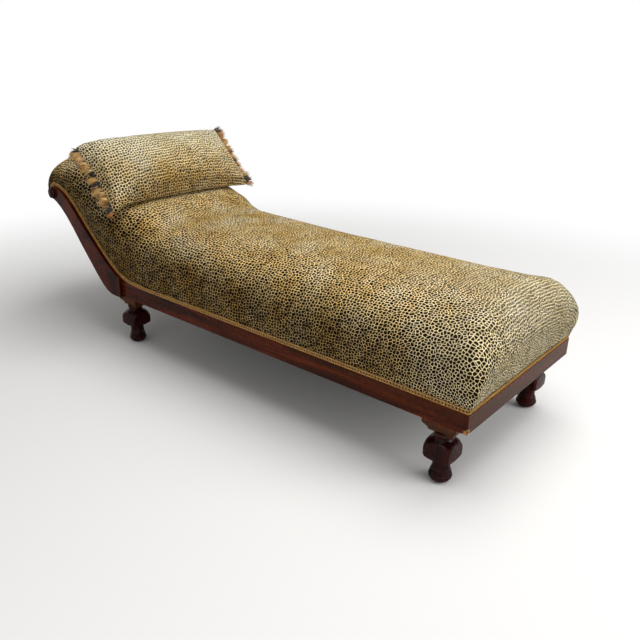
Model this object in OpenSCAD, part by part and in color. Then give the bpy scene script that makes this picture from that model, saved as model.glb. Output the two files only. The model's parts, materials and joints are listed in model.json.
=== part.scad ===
// Chaise longue: open scroll head, sprung and stuffed seat, loose pillow.
// The foot points along +X, the near side is -Y and the floor is z = 0.

/* [Frame] */
// Length of a side rail from the foot rail's face to the head joint
rail_len = 1396; // [1250:1:1550]
// Width over the two side rails
frame_w = 610; // [590:1:680]
// Height of the rails' underside above the floor
rail_z = 185; // [170:1:220]
// Height of the polished face of the rails
rail_h = 55; // [50:1:65]
// Thickness of the rails
rail_t = 28; // [26:1:34]
// Height of the tacking lip above the polished face
lip_h = 22; // [18:1:30]
// Set-back of the tacking lip behind the polished face
lip_set = 11; // [10:0.5:13]
// Height of the rebate under the rails that holds the webbing
rebate_h = 7; // [7:0.5:10]
// Width of the polished face left outside the webbing rebate
rebate_set = 11; // [9:0.5:13]
// Reach of the foot rail's face ahead of the origin
foot_x = 935; // [925:1:945]

/* [Head] */
// Distance of the roundel's centre behind the head joint
head_run = 385; // [340:1:430]
// Height of the roundel's centre above the rails' underside
head_rise = 326; // [290:1:360]
// Radius of the rounded top end of the uprights
end_r = 24; // [22:1:28]
// Thickness of the uprights
upright_t = 30; // [28:1:36]
// How far the uprights stand proud of the side rails
upright_proud = 12; // [8:1:14]
// Diameter of the round top rail between the uprights
top_rail_d = 40; // [34:1:42]
// Diameter of the top rail's turned ends
top_tenon_d = 20; // [16:1:24]
// Length of the top rail's turned ends
top_tenon_len = 20; // [14:1:24]
// Diameter of the turned roundels
roundel_d = 40; // [32:1:46]
// Thickness of the turned roundels
roundel_t = 13; // [9:1:15]
// Distance of the head cross rail behind the joint
cross_back = 50; // [46:1:60]

/* [Legs] */
// Distance of the foot legs' axes behind the foot rail's face
leg_inset = 84; // [80:1:100]
// Distance of the legs' axes behind the side rails' faces
leg_set = 46; // [43:1:50]
// Side of the leg's square block
leg_square = 76; // [70:1:80]
// Largest turned diameter of the leg's block
leg_turned_d = 101; // [96:1:106]
// Height of a leg below its plinth
leg_h = 146; // [142:1:150]
// Diameter of the leg's tenon
tenon_d = 20; // [16:1:22]
// Length of the leg's tenon above the leg's top
tenon_len = 80; // [66:1:86]
// Length of the leg plinths along the rail
plinth_len = 98; // [92:1:104]
// Width of the leg plinths across the rail
plinth_w = 66; // [60:1:70]
// Set-back of the plinths behind the rails' faces
plinth_set = 12; // [10:1:16]

/* [Blocks and screws] */
// Length of the corner blocks along the rail
block_len = 112; // [106:1:120]
// Width of the corner blocks across the rail
block_w = 54; // [48:1:58]
// Shank diameter of the corner block screws
screw_d = 4.5; // [4:0.5:5]
// Head diameter of the corner block screws
screw_head_d = 9; // [8:0.5:10]
// Depth of a screw in the side rail
screw_bite = 18; // [14:1:20]

/* [Springs and webbing] */
// Width of the webbing
web_w = 50; // [40:1:56]
// Thickness of the webbing
web_t = 1.5; // [1:0.1:1.6]
// Number of webs across the seat
cross_webs = 11; // [9:2:13]
// Distance between the rows of springs
row_gap = 140; // [120:1:145]
// Height of the springs as lashed down
spring_h = 122; // [110:1:126]
// Diameter of a spring at its ends
spring_d = 90; // [76:1:96]
// Diameter of a spring at its waist
waist_d = 60; // [50:1:66]
// Diameter of the spring wire
wire_d = 3.4; // [3:0.1:4]
// Turns of wire in a spring
spring_turns = 4; // [4:1:5]
// Diameter of the lashing cord
lash_d = 3; // [2:0.5:3.5]

/* [Upholstery] */
// Height of the seat's crown above the rails' polished face
seat_pad = 226; // [218:1:235]
// Thickness of the velvet cover
cover_t = 1.2; // [1:0.1:1.4]
// Thickness of the hessian
hessian_t = 1.2; // [1:0.1:1.4]
// Bulge of the padded sides past their seams
side_bulge = 7; // [4:0.5:9]
// Bulge of the head's padded sides past their seams
head_bulge = 14; // [8:0.5:18]
// Bulge of the padded foot end past its seam
foot_bulge = 28; // [20:1:32]
// Length over which the crown rolls down to the foot end
foot_roll = 105; // [90:1:120]
// Set-back of the upholstery behind the rails' polished faces
pad_set = 3; // [2.5:0.5:3.5]
// Height of the gimp braid
gimp_h = 11; // [9:0.5:13]
// Thickness of the gimp braid
gimp_t = 1.8; // [1.4:0.1:2.2]

/* [Pillow] */
// Length of the pillow between its end seams
pillow_len = 656; // [640:1:668]
// Width of the pillow between its long seams
pillow_w = 310; // [302:1:318]
// Rise of the pillow's face above its seams
pillow_top = 78; // [60:1:85]
// Fall of the pillow's underside below its seams
pillow_under = 60; // [50:1:64]
// Slope of the pillow on the head
pillow_tilt = 46; // [44:0.5:48]
// Distance of the pillow's middle behind the head joint
pillow_back = 74; // [66:0.5:80]
// Height of the pillow's middle above the rails' underside
pillow_rise = 433; // [430:0.5:445]
// Droop of the pillow's ends over the crown of the head
pillow_droop = 8; // [4:1:14]
// Sideways shift of the pillow towards the far side
pillow_shift = -6; // [-12:1:0]
// Length of the fringe on the pillow's ends
fringe_len = 32; // [25:1:36]
// Thickness of the fringe at its heading
fringe_t = 12; // [8:1:16]

/* [Fit] */
// Clearance between soft pieces
soft_gap = 0.4; // [0.3:0.05:0.5]
// Clearance of a tenon or a screw in its hole
fit_gap = 0.15; // [0.1:0.05:0.25]

/* [Hidden] */
mahogany = "#5a2416";
leg_wood = "#3c1512";
beech = "#b08a5a";
velvet = "#a38a4c";
gold = "#c39a45";
jute = "#a98f63";
steel = "#8c8f94";
half_w = frame_w / 2;
rail_top = rail_z + rail_h;
joint_x = foot_x - rail_len;
rail_in = half_w - rail_t;
lip_out = half_w - lip_set;
upright_out = half_w + upright_proud;
upright_in = upright_out - upright_t;
end_x = joint_x - head_run;
end_z = rail_z + head_rise;
pad_half = half_w - pad_set;
head_half = pad_half;
web_ceiling = rail_z + rebate_h;
leg_y = half_w - leg_set;
leg_foot_x = foot_x - leg_inset;
leg_head_x = joint_x + 1;
block_top = rail_top - 4;
cross_x = joint_x - cross_back;
plinth_h = rail_z - leg_h;
mortise_y = half_w - 10;
mortise_t = 9;
mortise_z = rail_z + 10;
mortise_h = 34;
mortise_len = 34;
stub_len = 12;
stub_t = 14;
front_rise = head_rise + end_r - rail_h;
back_rise = head_rise - end_r;

// Front line of the rails and uprights, from the sweep of the rail up to the rounded end.
// Each knot is [distance behind the joint as a share of head_run, rise as a share of front_rise].
front_knots = [[-0.39, 0], [-0.156, 0.014], [0, 0.064], [0.156, 0.18], [0.338, 0.373], [0.519, 0.586],
    [0.701, 0.81], [0.857, 0.956], [1, 1]];
// Back line of an upright, with its rise as a share of back_rise.
back_knots = [[0, 0], [0.117, 0], [0.2, 0.03], [0.28, 0.1], [0.39, 0.242], [0.571, 0.497],
    [0.753, 0.768], [0.896, 0.93], [1, 1]];
// From each front knot to the crown of the upholstery, [forward, up] as shares of seat_pad.
crown_knots = [[0.067, 1.01], [0.2, 1.045], [0.276, 1.06], [0.36, 0.97], [0.45, 0.77], [0.47, 0.6],
    [0.4, 0.58], [0.302, 0.59], [0.12, 0.53]];
front_steps = 14;
foot_steps = 5;
seat_steps = 7;
roll_steps = 5;
across_steps = 18;
roll_end_angle = 186;
square_power = 2.8;
foot_power = 3.4;
foot_corner = 4.5;
head_power = 5;
seat_end_power = 3.8;

// A smooth curve through the knots k, at the place t counted in knots.
function curve(k, t) =
    let(n = len(k), i = min(floor(t), n - 2), f = t - i)
    let(a = k[max(i - 1, 0)], b = k[i], c = k[i + 1], d = k[min(i + 2, n - 1)])
    (2 * b + (c - a) * f + (2 * a - 5 * b + 4 * c - d) * f * f + (3 * b - a - 3 * c + d) * f * f * f) / 2;

function front(t) = let(k = curve(front_knots, t)) [joint_x - head_run * k[0], rail_top + front_rise * k[1]];
function back(t) = let(k = curve(back_knots, t))
    [joint_x - head_run * k[0], rail_z + back_rise * max(0, k[1])];
function crown(t) = front(t) + seat_pad * curve(crown_knots, t);
function unit(v) = v / norm(v);
function front_t(i) = i / front_steps * (len(front_knots) - 1);
function bow(c, p) = pow(abs(c), 2 / p);

// The front line with its normals, from the sweep of the rail to the uprights' rounded ends.
function front_normal(t) = let(e = 0.01, d = unit(front(min(t + e, 8)) - front(max(t - e, 0)))) [d[1], -d[0]];
front_line = [for (i = [0:front_steps]) front(front_t(i))];
front_normals = [for (i = [0:front_steps]) front_normal(front_t(i))];
back_line = [for (i = [0:front_steps]) back(i / front_steps * (len(back_knots) - 1))];
joint_step = 4;

// One station of the upholstery is [base point, vector to the crown, half width, power of its rounded
// section, sideways bulge, share of the full height, bulge towards the foot].
function foot_station(i, d) =
    let(a = 90 * (1 - i / foot_steps), rise = max(bow(cos(a), foot_power), 0.02))
    let(x = foot_x - pad_set - foot_roll + (foot_roll - d) * bow(sin(a), foot_power))
    [[x, rail_top + soft_gap], [0, (seat_pad - soft_gap - d) * rise], pad_half - d,
        square_power + (foot_corner - square_power) * pow(1 - i / foot_steps, 0.5), side_bulge, rise,
        i == 0 ? 0 : foot_bulge * (1 - pow(i / foot_steps, 2))];
function seat_station(i, d) =
    let(x0 = foot_x - pad_set - foot_roll, x1 = front_line[0][0])
    let(x = x0 + (x1 - x0) * i / seat_steps, lean = (i / seat_steps) * crown_knots[0][0] * seat_pad)
    let(pad = seat_pad * (1 + (crown_knots[0][1] - 1) * pow(i / seat_steps, 3)))
    let(turn = pow(i / seat_steps, 4))
    [[x, rail_top + soft_gap], [lean, pad - soft_gap - d], pad_half - d,
        square_power + (seat_end_power - square_power) * turn, side_bulge, 1, 0];
function head_station(i, d) =
    let(t = front_t(i), b = front_line[i] + front_normals[i] * soft_gap)
    let(v = crown(t) - front_line[i], side = pad_half + (head_half - pad_half) * i / front_steps)
    let(f = sin(180 * min(1, i / front_steps * 1.1)), g = i > 4 ? f : i / 4)
    let(start = i > 4 ? square_power : seat_end_power)
    [b, v - unit(v) * (d + soft_gap), side - d, start + (head_power - start) * g,
        side_bulge + (head_bulge - side_bulge) * f, 1, 0];
function roll_station(i, d) =
    let(f = i / roll_steps, a = 90 + (roll_end_angle - 90) * f, start = crown(8) - [end_x, end_z])
    let(a0 = atan2(start[1], start[0]), r = norm(start) * (1 - f) + (end_r + 94) * f)
    let(c = a0 + (roll_end_angle - 4 - a0) * f)
    let(b = [end_x, end_z] + (end_r + 2.5 * soft_gap) * [cos(a), sin(a)])
    [b, [end_x, end_z] + (r - d) * [cos(c), sin(c)] - b, head_half - d, square_power, side_bulge, 1, 0];
function stations(d) = concat([for (i = [0:foot_steps]) foot_station(i, d)],
    [for (i = [1:seat_steps]) seat_station(i, d)],
    [for (i = [1:front_steps]) head_station(i, d)],
    [for (i = [1:roll_steps]) roll_station(i, d)]);
function section(s, i) =
    let(a = 180 * i / across_steps, rise = bow(sin(a), s[3]), c = cos(a))
    let(swell = 4 * rise * s[5] * (1 - rise * s[5]), side = s[2] * sign(c) * bow(c, s[3]) + s[4] * swell * c)
    [s[0][0] + s[1][0] * rise + s[6] * swell, -side, s[0][1] + s[1][1] * rise];
function skin(d) = [for (s = stations(d)) [for (i = [0:across_steps]) section(s, i)]];

// Faces of a grid of points with n rows of m points, seen from outside. Where cornered is true, each
// quarter's diagonals point away from its corner, so that no triangle lies wholly on the grid's rim.
function grid_faces(n, m, first, flip, cornered = false) = [for (i = [0:n - 2], j = [0:m - 2])
    let(a = first + i * m + j, b = a + 1, c = a + m, d = c + 1)
    let(turned = cornered && (2 * i < n - 1) != (2 * j < m - 1))
    let(cell = turned ? [[a, c, b], [b, c, d]] : [[a, d, b], [a, c, d]])
    each flip ? [for (f = cell) reversed(f)] : cell];
function flat_list(rows) = [for (r = rows) each r];

// A sheet between an outer and an inner grid of n rows of m points.
module sheet(outer, inner, cornered = false) {
    n = len(outer);
    m = len(outer[0]);
    o = n * m;
    rim = concat([for (j = [0:m - 1]) j], [for (i = [1:n - 1]) i * m + m - 1],
        [for (j = [m - 2:-1:0]) (n - 1) * m + j], [for (i = [n - 2:-1:1]) i * m]);
    walls = [for (k = [0:len(rim) - 1])
        let(a = rim[k], b = rim[(k + 1) % len(rim)])
        each [[a, b, b + o], [a, b + o, a + o]]];
    polyhedron(concat(flat_list(outer), flat_list(inner)),
        concat(grid_faces(n, m, 0, false, cornered), grid_faces(n, m, o, true, cornered), walls), 4);
}

// A strip of sheet along a side-on path, between two heights above it and two places across.
function path_normal(p, i) = let(d = unit(p[min(i + 1, len(p) - 1)] - p[max(i - 1, 0)])) [d[1], -d[0]];
function raised(p, h) = [for (i = [0:len(p) - 1]) p[i] + path_normal(p, i) * h];
function reversed(p) = [for (i = [len(p) - 1:-1:0]) p[i]];
module side_on(y0, y1, outline) {
    translate([0, y1, 0])
        rotate([90, 0, 0])
            linear_extrude(y1 - y0)
                polygon(outline);
}
module band(path, h0, h1, y0, y1) {
    side_on(y0, y1, concat(raised(path, h1), reversed(raised(path, h0))));
}
module both_ends() {
    children();
    mirror([0, 1, 0])
        children();
}
module box(x0, x1, y0, y1, z0, z1) {
    translate([x0, y0, z0])
        cube([x1 - x0, y1 - y0, z1 - z0]);
}

spring_z = web_ceiling + soft_gap;
lash_z = spring_z + spring_h + soft_gap + lash_d / 2;
sprung_z = lash_z + lash_d / 2 + soft_gap;
web_first = foot_x - rail_t - block_len - 40;
web_last = joint_x + block_len / 2 + 45;
cross_pitch = (web_first - web_last) / (cross_webs - 1);
spring_xs = [for (i = [0:2:cross_webs - 1]) web_last + i * cross_pitch];
spring_ys = [-row_gap, 0, row_gap];
hessian_half = row_gap + spring_d / 2 + 10;
hessian_knee = 60;
head_web_steps = [9, 11, 13];
hessian_path = concat([[foot_x - lip_set - 12, rail_top + lip_h + soft_gap], [foot_x - 120, sprung_z],
    [joint_x + hessian_knee, sprung_z]],
    [for (i = [8:front_steps]) front_line[i] + front_normals[i] * (web_t + 2 * soft_gap)],
    [for (a = [100:20:180]) [end_x, end_z] + (end_r + web_t + 2 * soft_gap) * [cos(a), sin(a)]]);

// Rails. The rail's section is drawn with its polished face at x = 0 and its underside at y = 0.
module rail_section() {
    polygon([[0, 2], [2, 0], [rebate_set, 0], [rebate_set, rebate_h], [rail_t, rebate_h],
        [rail_t, rail_h + lip_h], [lip_set, rail_h + lip_h], [lip_set, rail_h], [0, rail_h]]);
}
module side_rail() {
    color(mahogany)
        difference() {
            union() {
                translate([joint_x, -half_w, rail_z])
                    rotate([90, 0, 90])
                        linear_extrude(rail_len)
                            rail_section();
                side_on(-half_w, -rail_in, concat([[front_line[0][0], rail_top - 1]],
                    [for (i = [0:joint_step - 1]) front_line[i]],
                    [[joint_x, front(2)[1]], [joint_x, rail_top - 1]]));
                box(joint_x - mortise_len, joint_x + 1, -mortise_y, -mortise_y + mortise_t, mortise_z,
                    mortise_z + mortise_h);
            }
            translate([foot_x, -half_w, 0])
                rotate([0, 0, 45])
                    translate([0, -rail_len, -1])
                        cube([rail_len, 2 * rail_len, 2 * rail_z + rail_h]);
            for (p = screw_places)
                screw_hole(p);
        }
}
module side_rail_near() {
    side_rail();
}
module side_rail_far() {
    mirror([0, 1, 0])
        side_rail();
}
module foot_rail() {
    color(mahogany)
        difference() {
            translate([foot_x, -half_w, rail_z])
                rotate([90, 0, 180])
                    mirror([0, 0, 1])
                        translate([0, 0, -frame_w])
                            linear_extrude(frame_w)
                                rail_section();
            both_ends()
                translate([foot_x, -half_w, 0])
                    rotate([0, 0, 135])
                        translate([0, 0, -1])
                            cube([rail_len, rail_len, 2 * rail_z + rail_h]);
        }
}
module head_cross_rail() {
    color(beech)
        union() {
            difference() {
                box(cross_x - rail_t, cross_x, -upright_in, upright_in, rail_z, rail_top);
                box(cross_x - rail_t + rebate_set, cross_x + 1, -upright_in - 1, upright_in + 1, rail_z - 1,
                    web_ceiling);
            }
            both_ends()
                box(cross_x - (rail_t + stub_t) / 2, cross_x - (rail_t - stub_t) / 2, -upright_in - stub_len,
                    -upright_in + 1, mortise_z, mortise_z + mortise_h);
        }
}
module head_upright() {
    end_arc = [for (a = [100:20:260]) [end_x, end_z] + end_r * [cos(a), sin(a)]];
    kept_front = [for (i = [joint_step:front_steps]) front_line[i]];
    kept_back = [for (i = [front_steps:-1:1]) back_line[i]];
    joint_front = [joint_x, front(2)[1]];
    color(mahogany)
        difference() {
            side_on(-upright_out, -upright_in,
                concat([[joint_x, rail_z], joint_front], kept_front, end_arc, kept_back));
            box(joint_x - mortise_len - fit_gap, joint_x + 1, -mortise_y - fit_gap,
                -mortise_y + mortise_t + fit_gap, mortise_z - fit_gap, mortise_z + mortise_h + fit_gap);
            box(cross_x - (rail_t + stub_t) / 2 - fit_gap, cross_x - (rail_t - stub_t) / 2 + fit_gap,
                -upright_in - stub_len - fit_gap, -upright_in + 1, mortise_z - fit_gap,
                mortise_z + mortise_h + fit_gap);
            translate([end_x, -upright_in + 1, end_z])
                rotate([90, 0, 0])
                    cylinder(h = top_tenon_len + fit_gap + 1, d = top_tenon_d + 2 * fit_gap, $fn = 48);
        }
}
module head_upright_near() {
    head_upright();
}
module head_upright_far() {
    mirror([0, 1, 0])
        head_upright();
}
module head_top_rail() {
    long = 2 * (upright_in + top_tenon_len);
    color(beech)
        union() {
            translate([end_x, upright_in - fit_gap, end_z])
                rotate([90, 0, 0])
                    cylinder(h = 2 * (upright_in - fit_gap), d = top_rail_d, $fn = 64);
            translate([end_x, long / 2, end_z])
                rotate([90, 0, 0])
                    cylinder(h = long, d = top_tenon_d, $fn = 48);
        }
}
module roundel() {
    r = roundel_d / 2;
    color(leg_wood)
        translate([end_x, -upright_out, end_z])
            rotate([90, 0, 0])
                rotate_extrude($fn = 64)
                    polygon([[0, 0], [r, 0], [r, roundel_t * 0.5], [r * 0.93, roundel_t * 0.72],
                        [r * 0.74, roundel_t * 0.78], [r * 0.68, roundel_t * 0.6],
                        [r * 0.6, roundel_t * 0.62], [r * 0.45, roundel_t * 0.88],
                        [r * 0.22, roundel_t], [0, roundel_t]]);
}
module roundel_near() {
    roundel();
}
module roundel_far() {
    mirror([0, 1, 0])
        roundel();
}

// Corner blocks inside the rails take the leg tenons, and screws hold them to the side rails.
screw_z = rail_z + 26;
block_in = rail_in - block_w;
screw_offset = block_len / 2 - 16;
foot_block_x = foot_x - rail_t - block_len / 2;
head_block_x = joint_x + 12 + block_len / 2 - 50;
screw_places = [foot_block_x - screw_offset, foot_block_x + screw_offset, head_block_x + screw_offset];
module screw_hole(x) {
    translate([x, -block_in + 1, screw_z])
        rotate([90, 0, 0])
            cylinder(h = block_w + screw_bite + 1 + fit_gap, d = screw_d + 2 * fit_gap, $fn = 32);
}
module screw(x) {
    translate([x, -block_in, screw_z])
        rotate([90, 0, 0])
            union() {
                translate([0, 0, -screw_d / 2])
                    cylinder(h = screw_d / 2, d = screw_head_d, $fn = 32);
                cylinder(h = block_w + screw_bite, d = screw_d, $fn = 32);
            }
}
module corner_block(x, leg_x) {
    color(beech)
        difference() {
            translate([0, 0, rail_z])
                linear_extrude(block_top - rail_z)
                    polygon([[x - block_len / 2, -rail_in], [x + block_len / 2, -rail_in],
                        [x + block_len / 2, -block_in], [x - block_len / 2 + 20, -block_in],
                        [x - block_len / 2, -block_in - 20]]);
            translate([leg_x, -leg_y, rail_z - 1])
                cylinder(h = block_top - rail_z + 2, d = tenon_d + 2 * fit_gap, $fn = 48);
            for (p = screw_places)
                screw_hole(p);
        }
}
module corner_block_foot_near() {
    corner_block(foot_block_x, leg_foot_x);
}
module corner_block_foot_far() {
    mirror([0, 1, 0])
        corner_block(foot_block_x, leg_foot_x);
}
module corner_block_head_near() {
    corner_block(head_block_x, leg_head_x);
}
module corner_block_head_far() {
    mirror([0, 1, 0])
        corner_block(head_block_x, leg_head_x);
}
module corner_block_screws() {
    color(steel)
        both_ends()
            for (p = screw_places)
                screw(p);
}

// Plinths have an ogee edge on all four sides, so they are stacked slabs under the rails.
module plinth(x) {
    steps = 6;
    color(leg_wood)
        difference() {
            union()
                for (i = [0:steps]) {
                    f = i / steps;
                    draw = 13 * (0.5 - 0.5 * cos(180 * f));
                    top = rail_z - 10 - (plinth_h - 10) * i / (steps + 1);
                    low = rail_z - 10 - (plinth_h - 10) * (i + 1) / (steps + 1);
                    box(x - plinth_len / 2 + draw, x + plinth_len / 2 - draw, -half_w + plinth_set + draw,
                        -half_w + plinth_set + plinth_w - draw, low, i == 0 ? rail_z : top);
                }
            translate([x, -leg_y, rail_z - plinth_h - 1])
                cylinder(h = plinth_h + 2, d = tenon_d + 2 * fit_gap, $fn = 48);
        }
}
module plinth_foot_near() {
    plinth(leg_foot_x);
}
module plinth_foot_far() {
    mirror([0, 1, 0])
        plinth(leg_foot_x);
}
module plinth_head_near() {
    plinth(leg_head_x);
}
module plinth_head_far() {
    mirror([0, 1, 0])
        plinth(leg_head_x);
}

// A leg is turned from a square blank: beads at the foot, a plain column and a block left square.
module leg(x) {
    big = leg_turned_d / 2;
    tenon_top = leg_h + tenon_len;
    profile = [[0, 0], [17, 0], [20, 2], [25, 6], [27, 9], [27, 10], [30, 13], [31, 18], [30, 22], [27, 24],
        [28, 27], [28, 30], [25, 32], [26, 35], [25, 38], [23, 41], [23, 55], [23.5, 64], [27, 68],
        [36, 71], [big - 2, 75], [big, 80], [big, 98], [big - 2, 106], [big - 7, 114], [big - 15, 121],
        [big - 23, 126], [25, 129], [23, 132], [26, leg_h - 10], [26, leg_h], [tenon_d / 2, leg_h],
        [tenon_d / 2, tenon_top], [0, tenon_top]];
    color(leg_wood)
        translate([x, -leg_y, 0])
            intersection() {
                rotate_extrude($fn = 96)
                    polygon(profile);
                translate([-leg_square / 2, -leg_square / 2, 0])
                    cube([leg_square, leg_square, tenon_top]);
            }
}
module leg_foot_near() {
    leg(leg_foot_x);
}
module leg_foot_far() {
    mirror([0, 1, 0])
        leg(leg_foot_x);
}
module leg_head_near() {
    leg(leg_head_x);
}
module leg_head_far() {
    mirror([0, 1, 0])
        leg(leg_head_x);
}

// Webbing, springs, lashing and hessian.
web_side = half_w - rebate_set - 0.5;
module webbing_across() {
    color(jute)
        for (i = [0:cross_webs - 1])
            box(web_last + i * cross_pitch - web_w / 2, web_last + i * cross_pitch + web_w / 2, -web_side,
                web_side, web_ceiling - web_t, web_ceiling);
}
module webbing_along() {
    low = web_ceiling - web_t - soft_gap;
    foot_end = foot_x - rebate_set - 1;
    head_end = cross_x - rail_t + rebate_set + 1;
    path = [[head_end, web_ceiling], [cross_x + 1, web_ceiling], [cross_x + web_w / 2, low],
        [foot_x - rail_t - web_w / 2, low], [foot_x - rail_t - 1, web_ceiling], [foot_end, web_ceiling]];
    color(jute)
        for (y = spring_ys)
            side_on(y - web_w / 2, y + web_w / 2, concat(path, [for (p = reversed(path)) p - [0, web_t]]));
}
module head_webbing() {
    color(jute)
        for (k = head_web_steps)
            band([for (i = [k - 1:k]) front_line[i]], soft_gap, soft_gap + web_t, 1 - lip_out, lip_out - 1);
}
function spring_point(a, i) =
    let(f = a / (360 * spring_turns))
    let(r = (waist_d + (spring_d - waist_d) * pow(abs(2 * f - 1), 1.6) - wire_d) / 2)
    [r * cos(a), r * sin(a), wire_d / 2 + (spring_h - wire_d) * (f + sin(720 * f) / 30)];
function ring_at(p, q, sides, r) =
    let(d = unit(q), u = unit(cross(d, [0, 0, 1])), v = cross(d, u))
    [for (k = [0:sides - 1]) p + r * (u * cos(360 * k / sides) + v * sin(360 * k / sides))];
module coil() {
    sides = 4;
    step = 45;
    n = spring_turns * 360 / step;
    pts = [for (i = [0:n]) spring_point(i * step)];
    rings = [for (i = [0:n]) ring_at(pts[i], pts[min(i + 1, n)] - pts[max(i - 1, 0)], sides, wire_d / 2)];
    tube = [for (i = [0:n - 1], k = [0:sides - 1])
        let(a = i * sides + k, b = i * sides + (k + 1) % sides)
        each [[a, b + sides, b], [a, a + sides, b + sides]]];
    caps = [[for (k = [0:sides - 1]) k], [for (k = [sides - 1:-1:0]) n * sides + k]];
    polyhedron(flat_list(rings), concat(tube, caps), 4);
}
module seat_springs() {
    color(steel)
        for (x = spring_xs, y = spring_ys)
            translate([x, y, spring_z])
                coil();
}
module cord(p, q) {
    v = q - p;
    translate(p)
        rotate([0, acos(v[2] / norm(v)), atan2(v[1], v[0])])
            cylinder(h = norm(v), d = lash_d, $fn = 16);
}
module spring_lashing() {
    r = spring_d / 2;
    x0 = spring_xs[0] - r;
    x1 = spring_xs[len(spring_xs) - 1] + r;
    nail_z = rail_top + 6;
    color(jute)
        union() {
            for (y = spring_ys) {
                cord([x0, y, lash_z], [x1, y, lash_z]);
                cord([x1, y, lash_z], [foot_x - rail_t - lash_d, y, nail_z]);
                cord([x0, y, lash_z], [cross_x + lash_d, y, rail_top - 8]);
            }
            for (x = spring_xs) {
                cord([x, -row_gap - r, lash_z], [x, row_gap + r, lash_z]);
                both_ends()
                    cord([x, row_gap + r, lash_z], [x, rail_in - lash_d, nail_z]);
            }
        }
}
module spring_hessian() {
    last = len(hessian_path) - 1;
    color(jute)
        union() {
            band([for (i = [0:4]) hessian_path[i]], 0, hessian_t, -hessian_half, hessian_half);
            band([for (i = [3:last]) hessian_path[i]], 0, hessian_t, -upright_in + 2, upright_in - 2);
        }
}

// Stuffing and cover. The stuffing's underside runs over the lips, the hessian and the head's webbing.
under_z = sprung_z + hessian_t + soft_gap;
under_turn = joint_x + hessian_knee;
slope_start = [under_turn, under_z];
slope_end = hessian_path[3] + [0, hessian_t + 2 * soft_gap];
head_clear = 2 * web_t + hessian_t + 3 * soft_gap;
under_wall = lip_out + soft_gap;
function cross2(a, b) = a[0] * b[1] - a[1] * b[0];
function under_height(b, u) =
    let(flat = (under_z - b[1]) / u[1], slope = slope_end - slope_start)
    let(sloped = cross2(slope_start - b, slope) / cross2(u, slope))
    b[0] + u[0] * flat >= under_turn ? flat : max(head_clear, sloped);
// At the foot, each row's underside is [place behind the lip, height over the rail].
lip_clear = lip_h + soft_gap;
foot_under = [[pad_set - lip_set, 0], [-1, 0], [0, lip_clear], [9, lip_clear],
    [60, (lip_clear + under_z - rail_top) / 2 + 3], [106, under_z - rail_top]];
function under_row(s, i) =
    let(first_head = foot_steps + seat_steps, f = max(0, min(1, (i - first_head) / 7)))
    let(u = i < 6 ? [0, 1] : unit(s[i][1]), wall = foot_x - lip_set + soft_gap)
    let(b = i == 0 ? s[0][0] : i < 6 ? [wall - foot_under[i][0], s[0][0][1]] : s[i][0])
    let(top = i < 6 ? foot_under[i][1] : i > first_head + 8 ? head_clear : under_height(b, u))
    let(edge = i < 2 ? 0 : min(top, lip_h + soft_gap + (head_clear - lip_h) * f))
    let(shoulder = hessian_half + 20 + (upright_in - hessian_half - 20) * f)
    let(corner = under_wall - (i < 2 ? 2 : 0))
    [for (q = [[-under_wall, 0], [-corner, edge], [-shoulder, top], [shoulder, top], [corner, edge],
        [under_wall, 0]]) [b[0] + u[0] * q[1], q[0], b[1] + u[1] * q[1]]];
// Triangles that close one end of the stuffing, between its top row and the eight points under it.
function end_cap(m, k, o) =
    let(mid = (m - 1) / 2)
    concat([[o, o + 1, k[1]], [o + 1, k[2], k[1]], [o + 1, k[3], k[2]]],
        [for (j = [1:mid - 1]) [o + j, o + j + 1, k[3]]], [[o + mid, k[4], k[3]]],
        [for (j = [mid:m - 3]) [o + j, o + j + 1, k[4]]],
        [[o + m - 2, k[5], k[4]], [o + m - 2, k[6], k[5]], [o + m - 2, o + m - 1, k[6]]]);
module stuffing() {
    s = stations(cover_t + soft_gap);
    grid = skin(cover_t + soft_gap);
    n = len(grid);
    m = across_steps + 1;
    low = [for (i = [0:n - 1]) concat([grid[i][0]], under_row(s, i), [grid[i][m - 1]])];
    inner = [for (r = low) [for (k = [1:6]) r[k]]];
    o = n * m;
    function low_index(i, k) = k == 0 ? i * m : k == 7 ? i * m + m - 1 : o + i * 6 + k - 1;
    under = [for (i = [0:n - 2], k = [0:6])
        let(a = low_index(i, k), b = low_index(i, k + 1))
        let(c = low_index(i + 1, k), e = low_index(i + 1, k + 1))
        each [[a, b, e], [a, e, c]]];
    caps = concat(end_cap(m, [for (k = [0:7]) low_index(0, k)], 0),
        [for (f = end_cap(m, [for (k = [0:7]) low_index(n - 1, k)], (n - 1) * m)) reversed(f)]);
    color("#d8c9a0")
        polyhedron(concat(flat_list(grid), flat_list(inner)),
            concat(grid_faces(n, m, 0, false), under, caps), 4);
}
module velvet_cover() {
    color(velvet)
        sheet(skin(0), skin(cover_t));
}
module outside_back() {
    first = 4;
    path = [for (i = [first:front_steps - 2]) back_line[i]];
    color(velvet)
        band(path, 6, 6 + cover_t, -upright_in + soft_gap, upright_in - soft_gap);
}
module dust_cover() {
    low = web_ceiling - 2 * web_t - 2 * soft_gap - 0.8;
    color("#1d1c1b")
        difference() {
            box(cross_x - rail_t + rebate_set + 1, foot_x - rebate_set - 1, -web_side, web_side, low,
                low + 0.8);
            both_ends() {
                for (x = [foot_block_x, head_block_x])
                    box(x - block_len / 2 - 2, x + block_len / 2 + 2, -half_w, -block_in + 2, low - 1,
                        low + 2);
                box(cross_x - rail_t, joint_x + 1, -half_w, soft_gap - upright_in, low - 1, low + 2);
            }
        }
}

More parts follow.
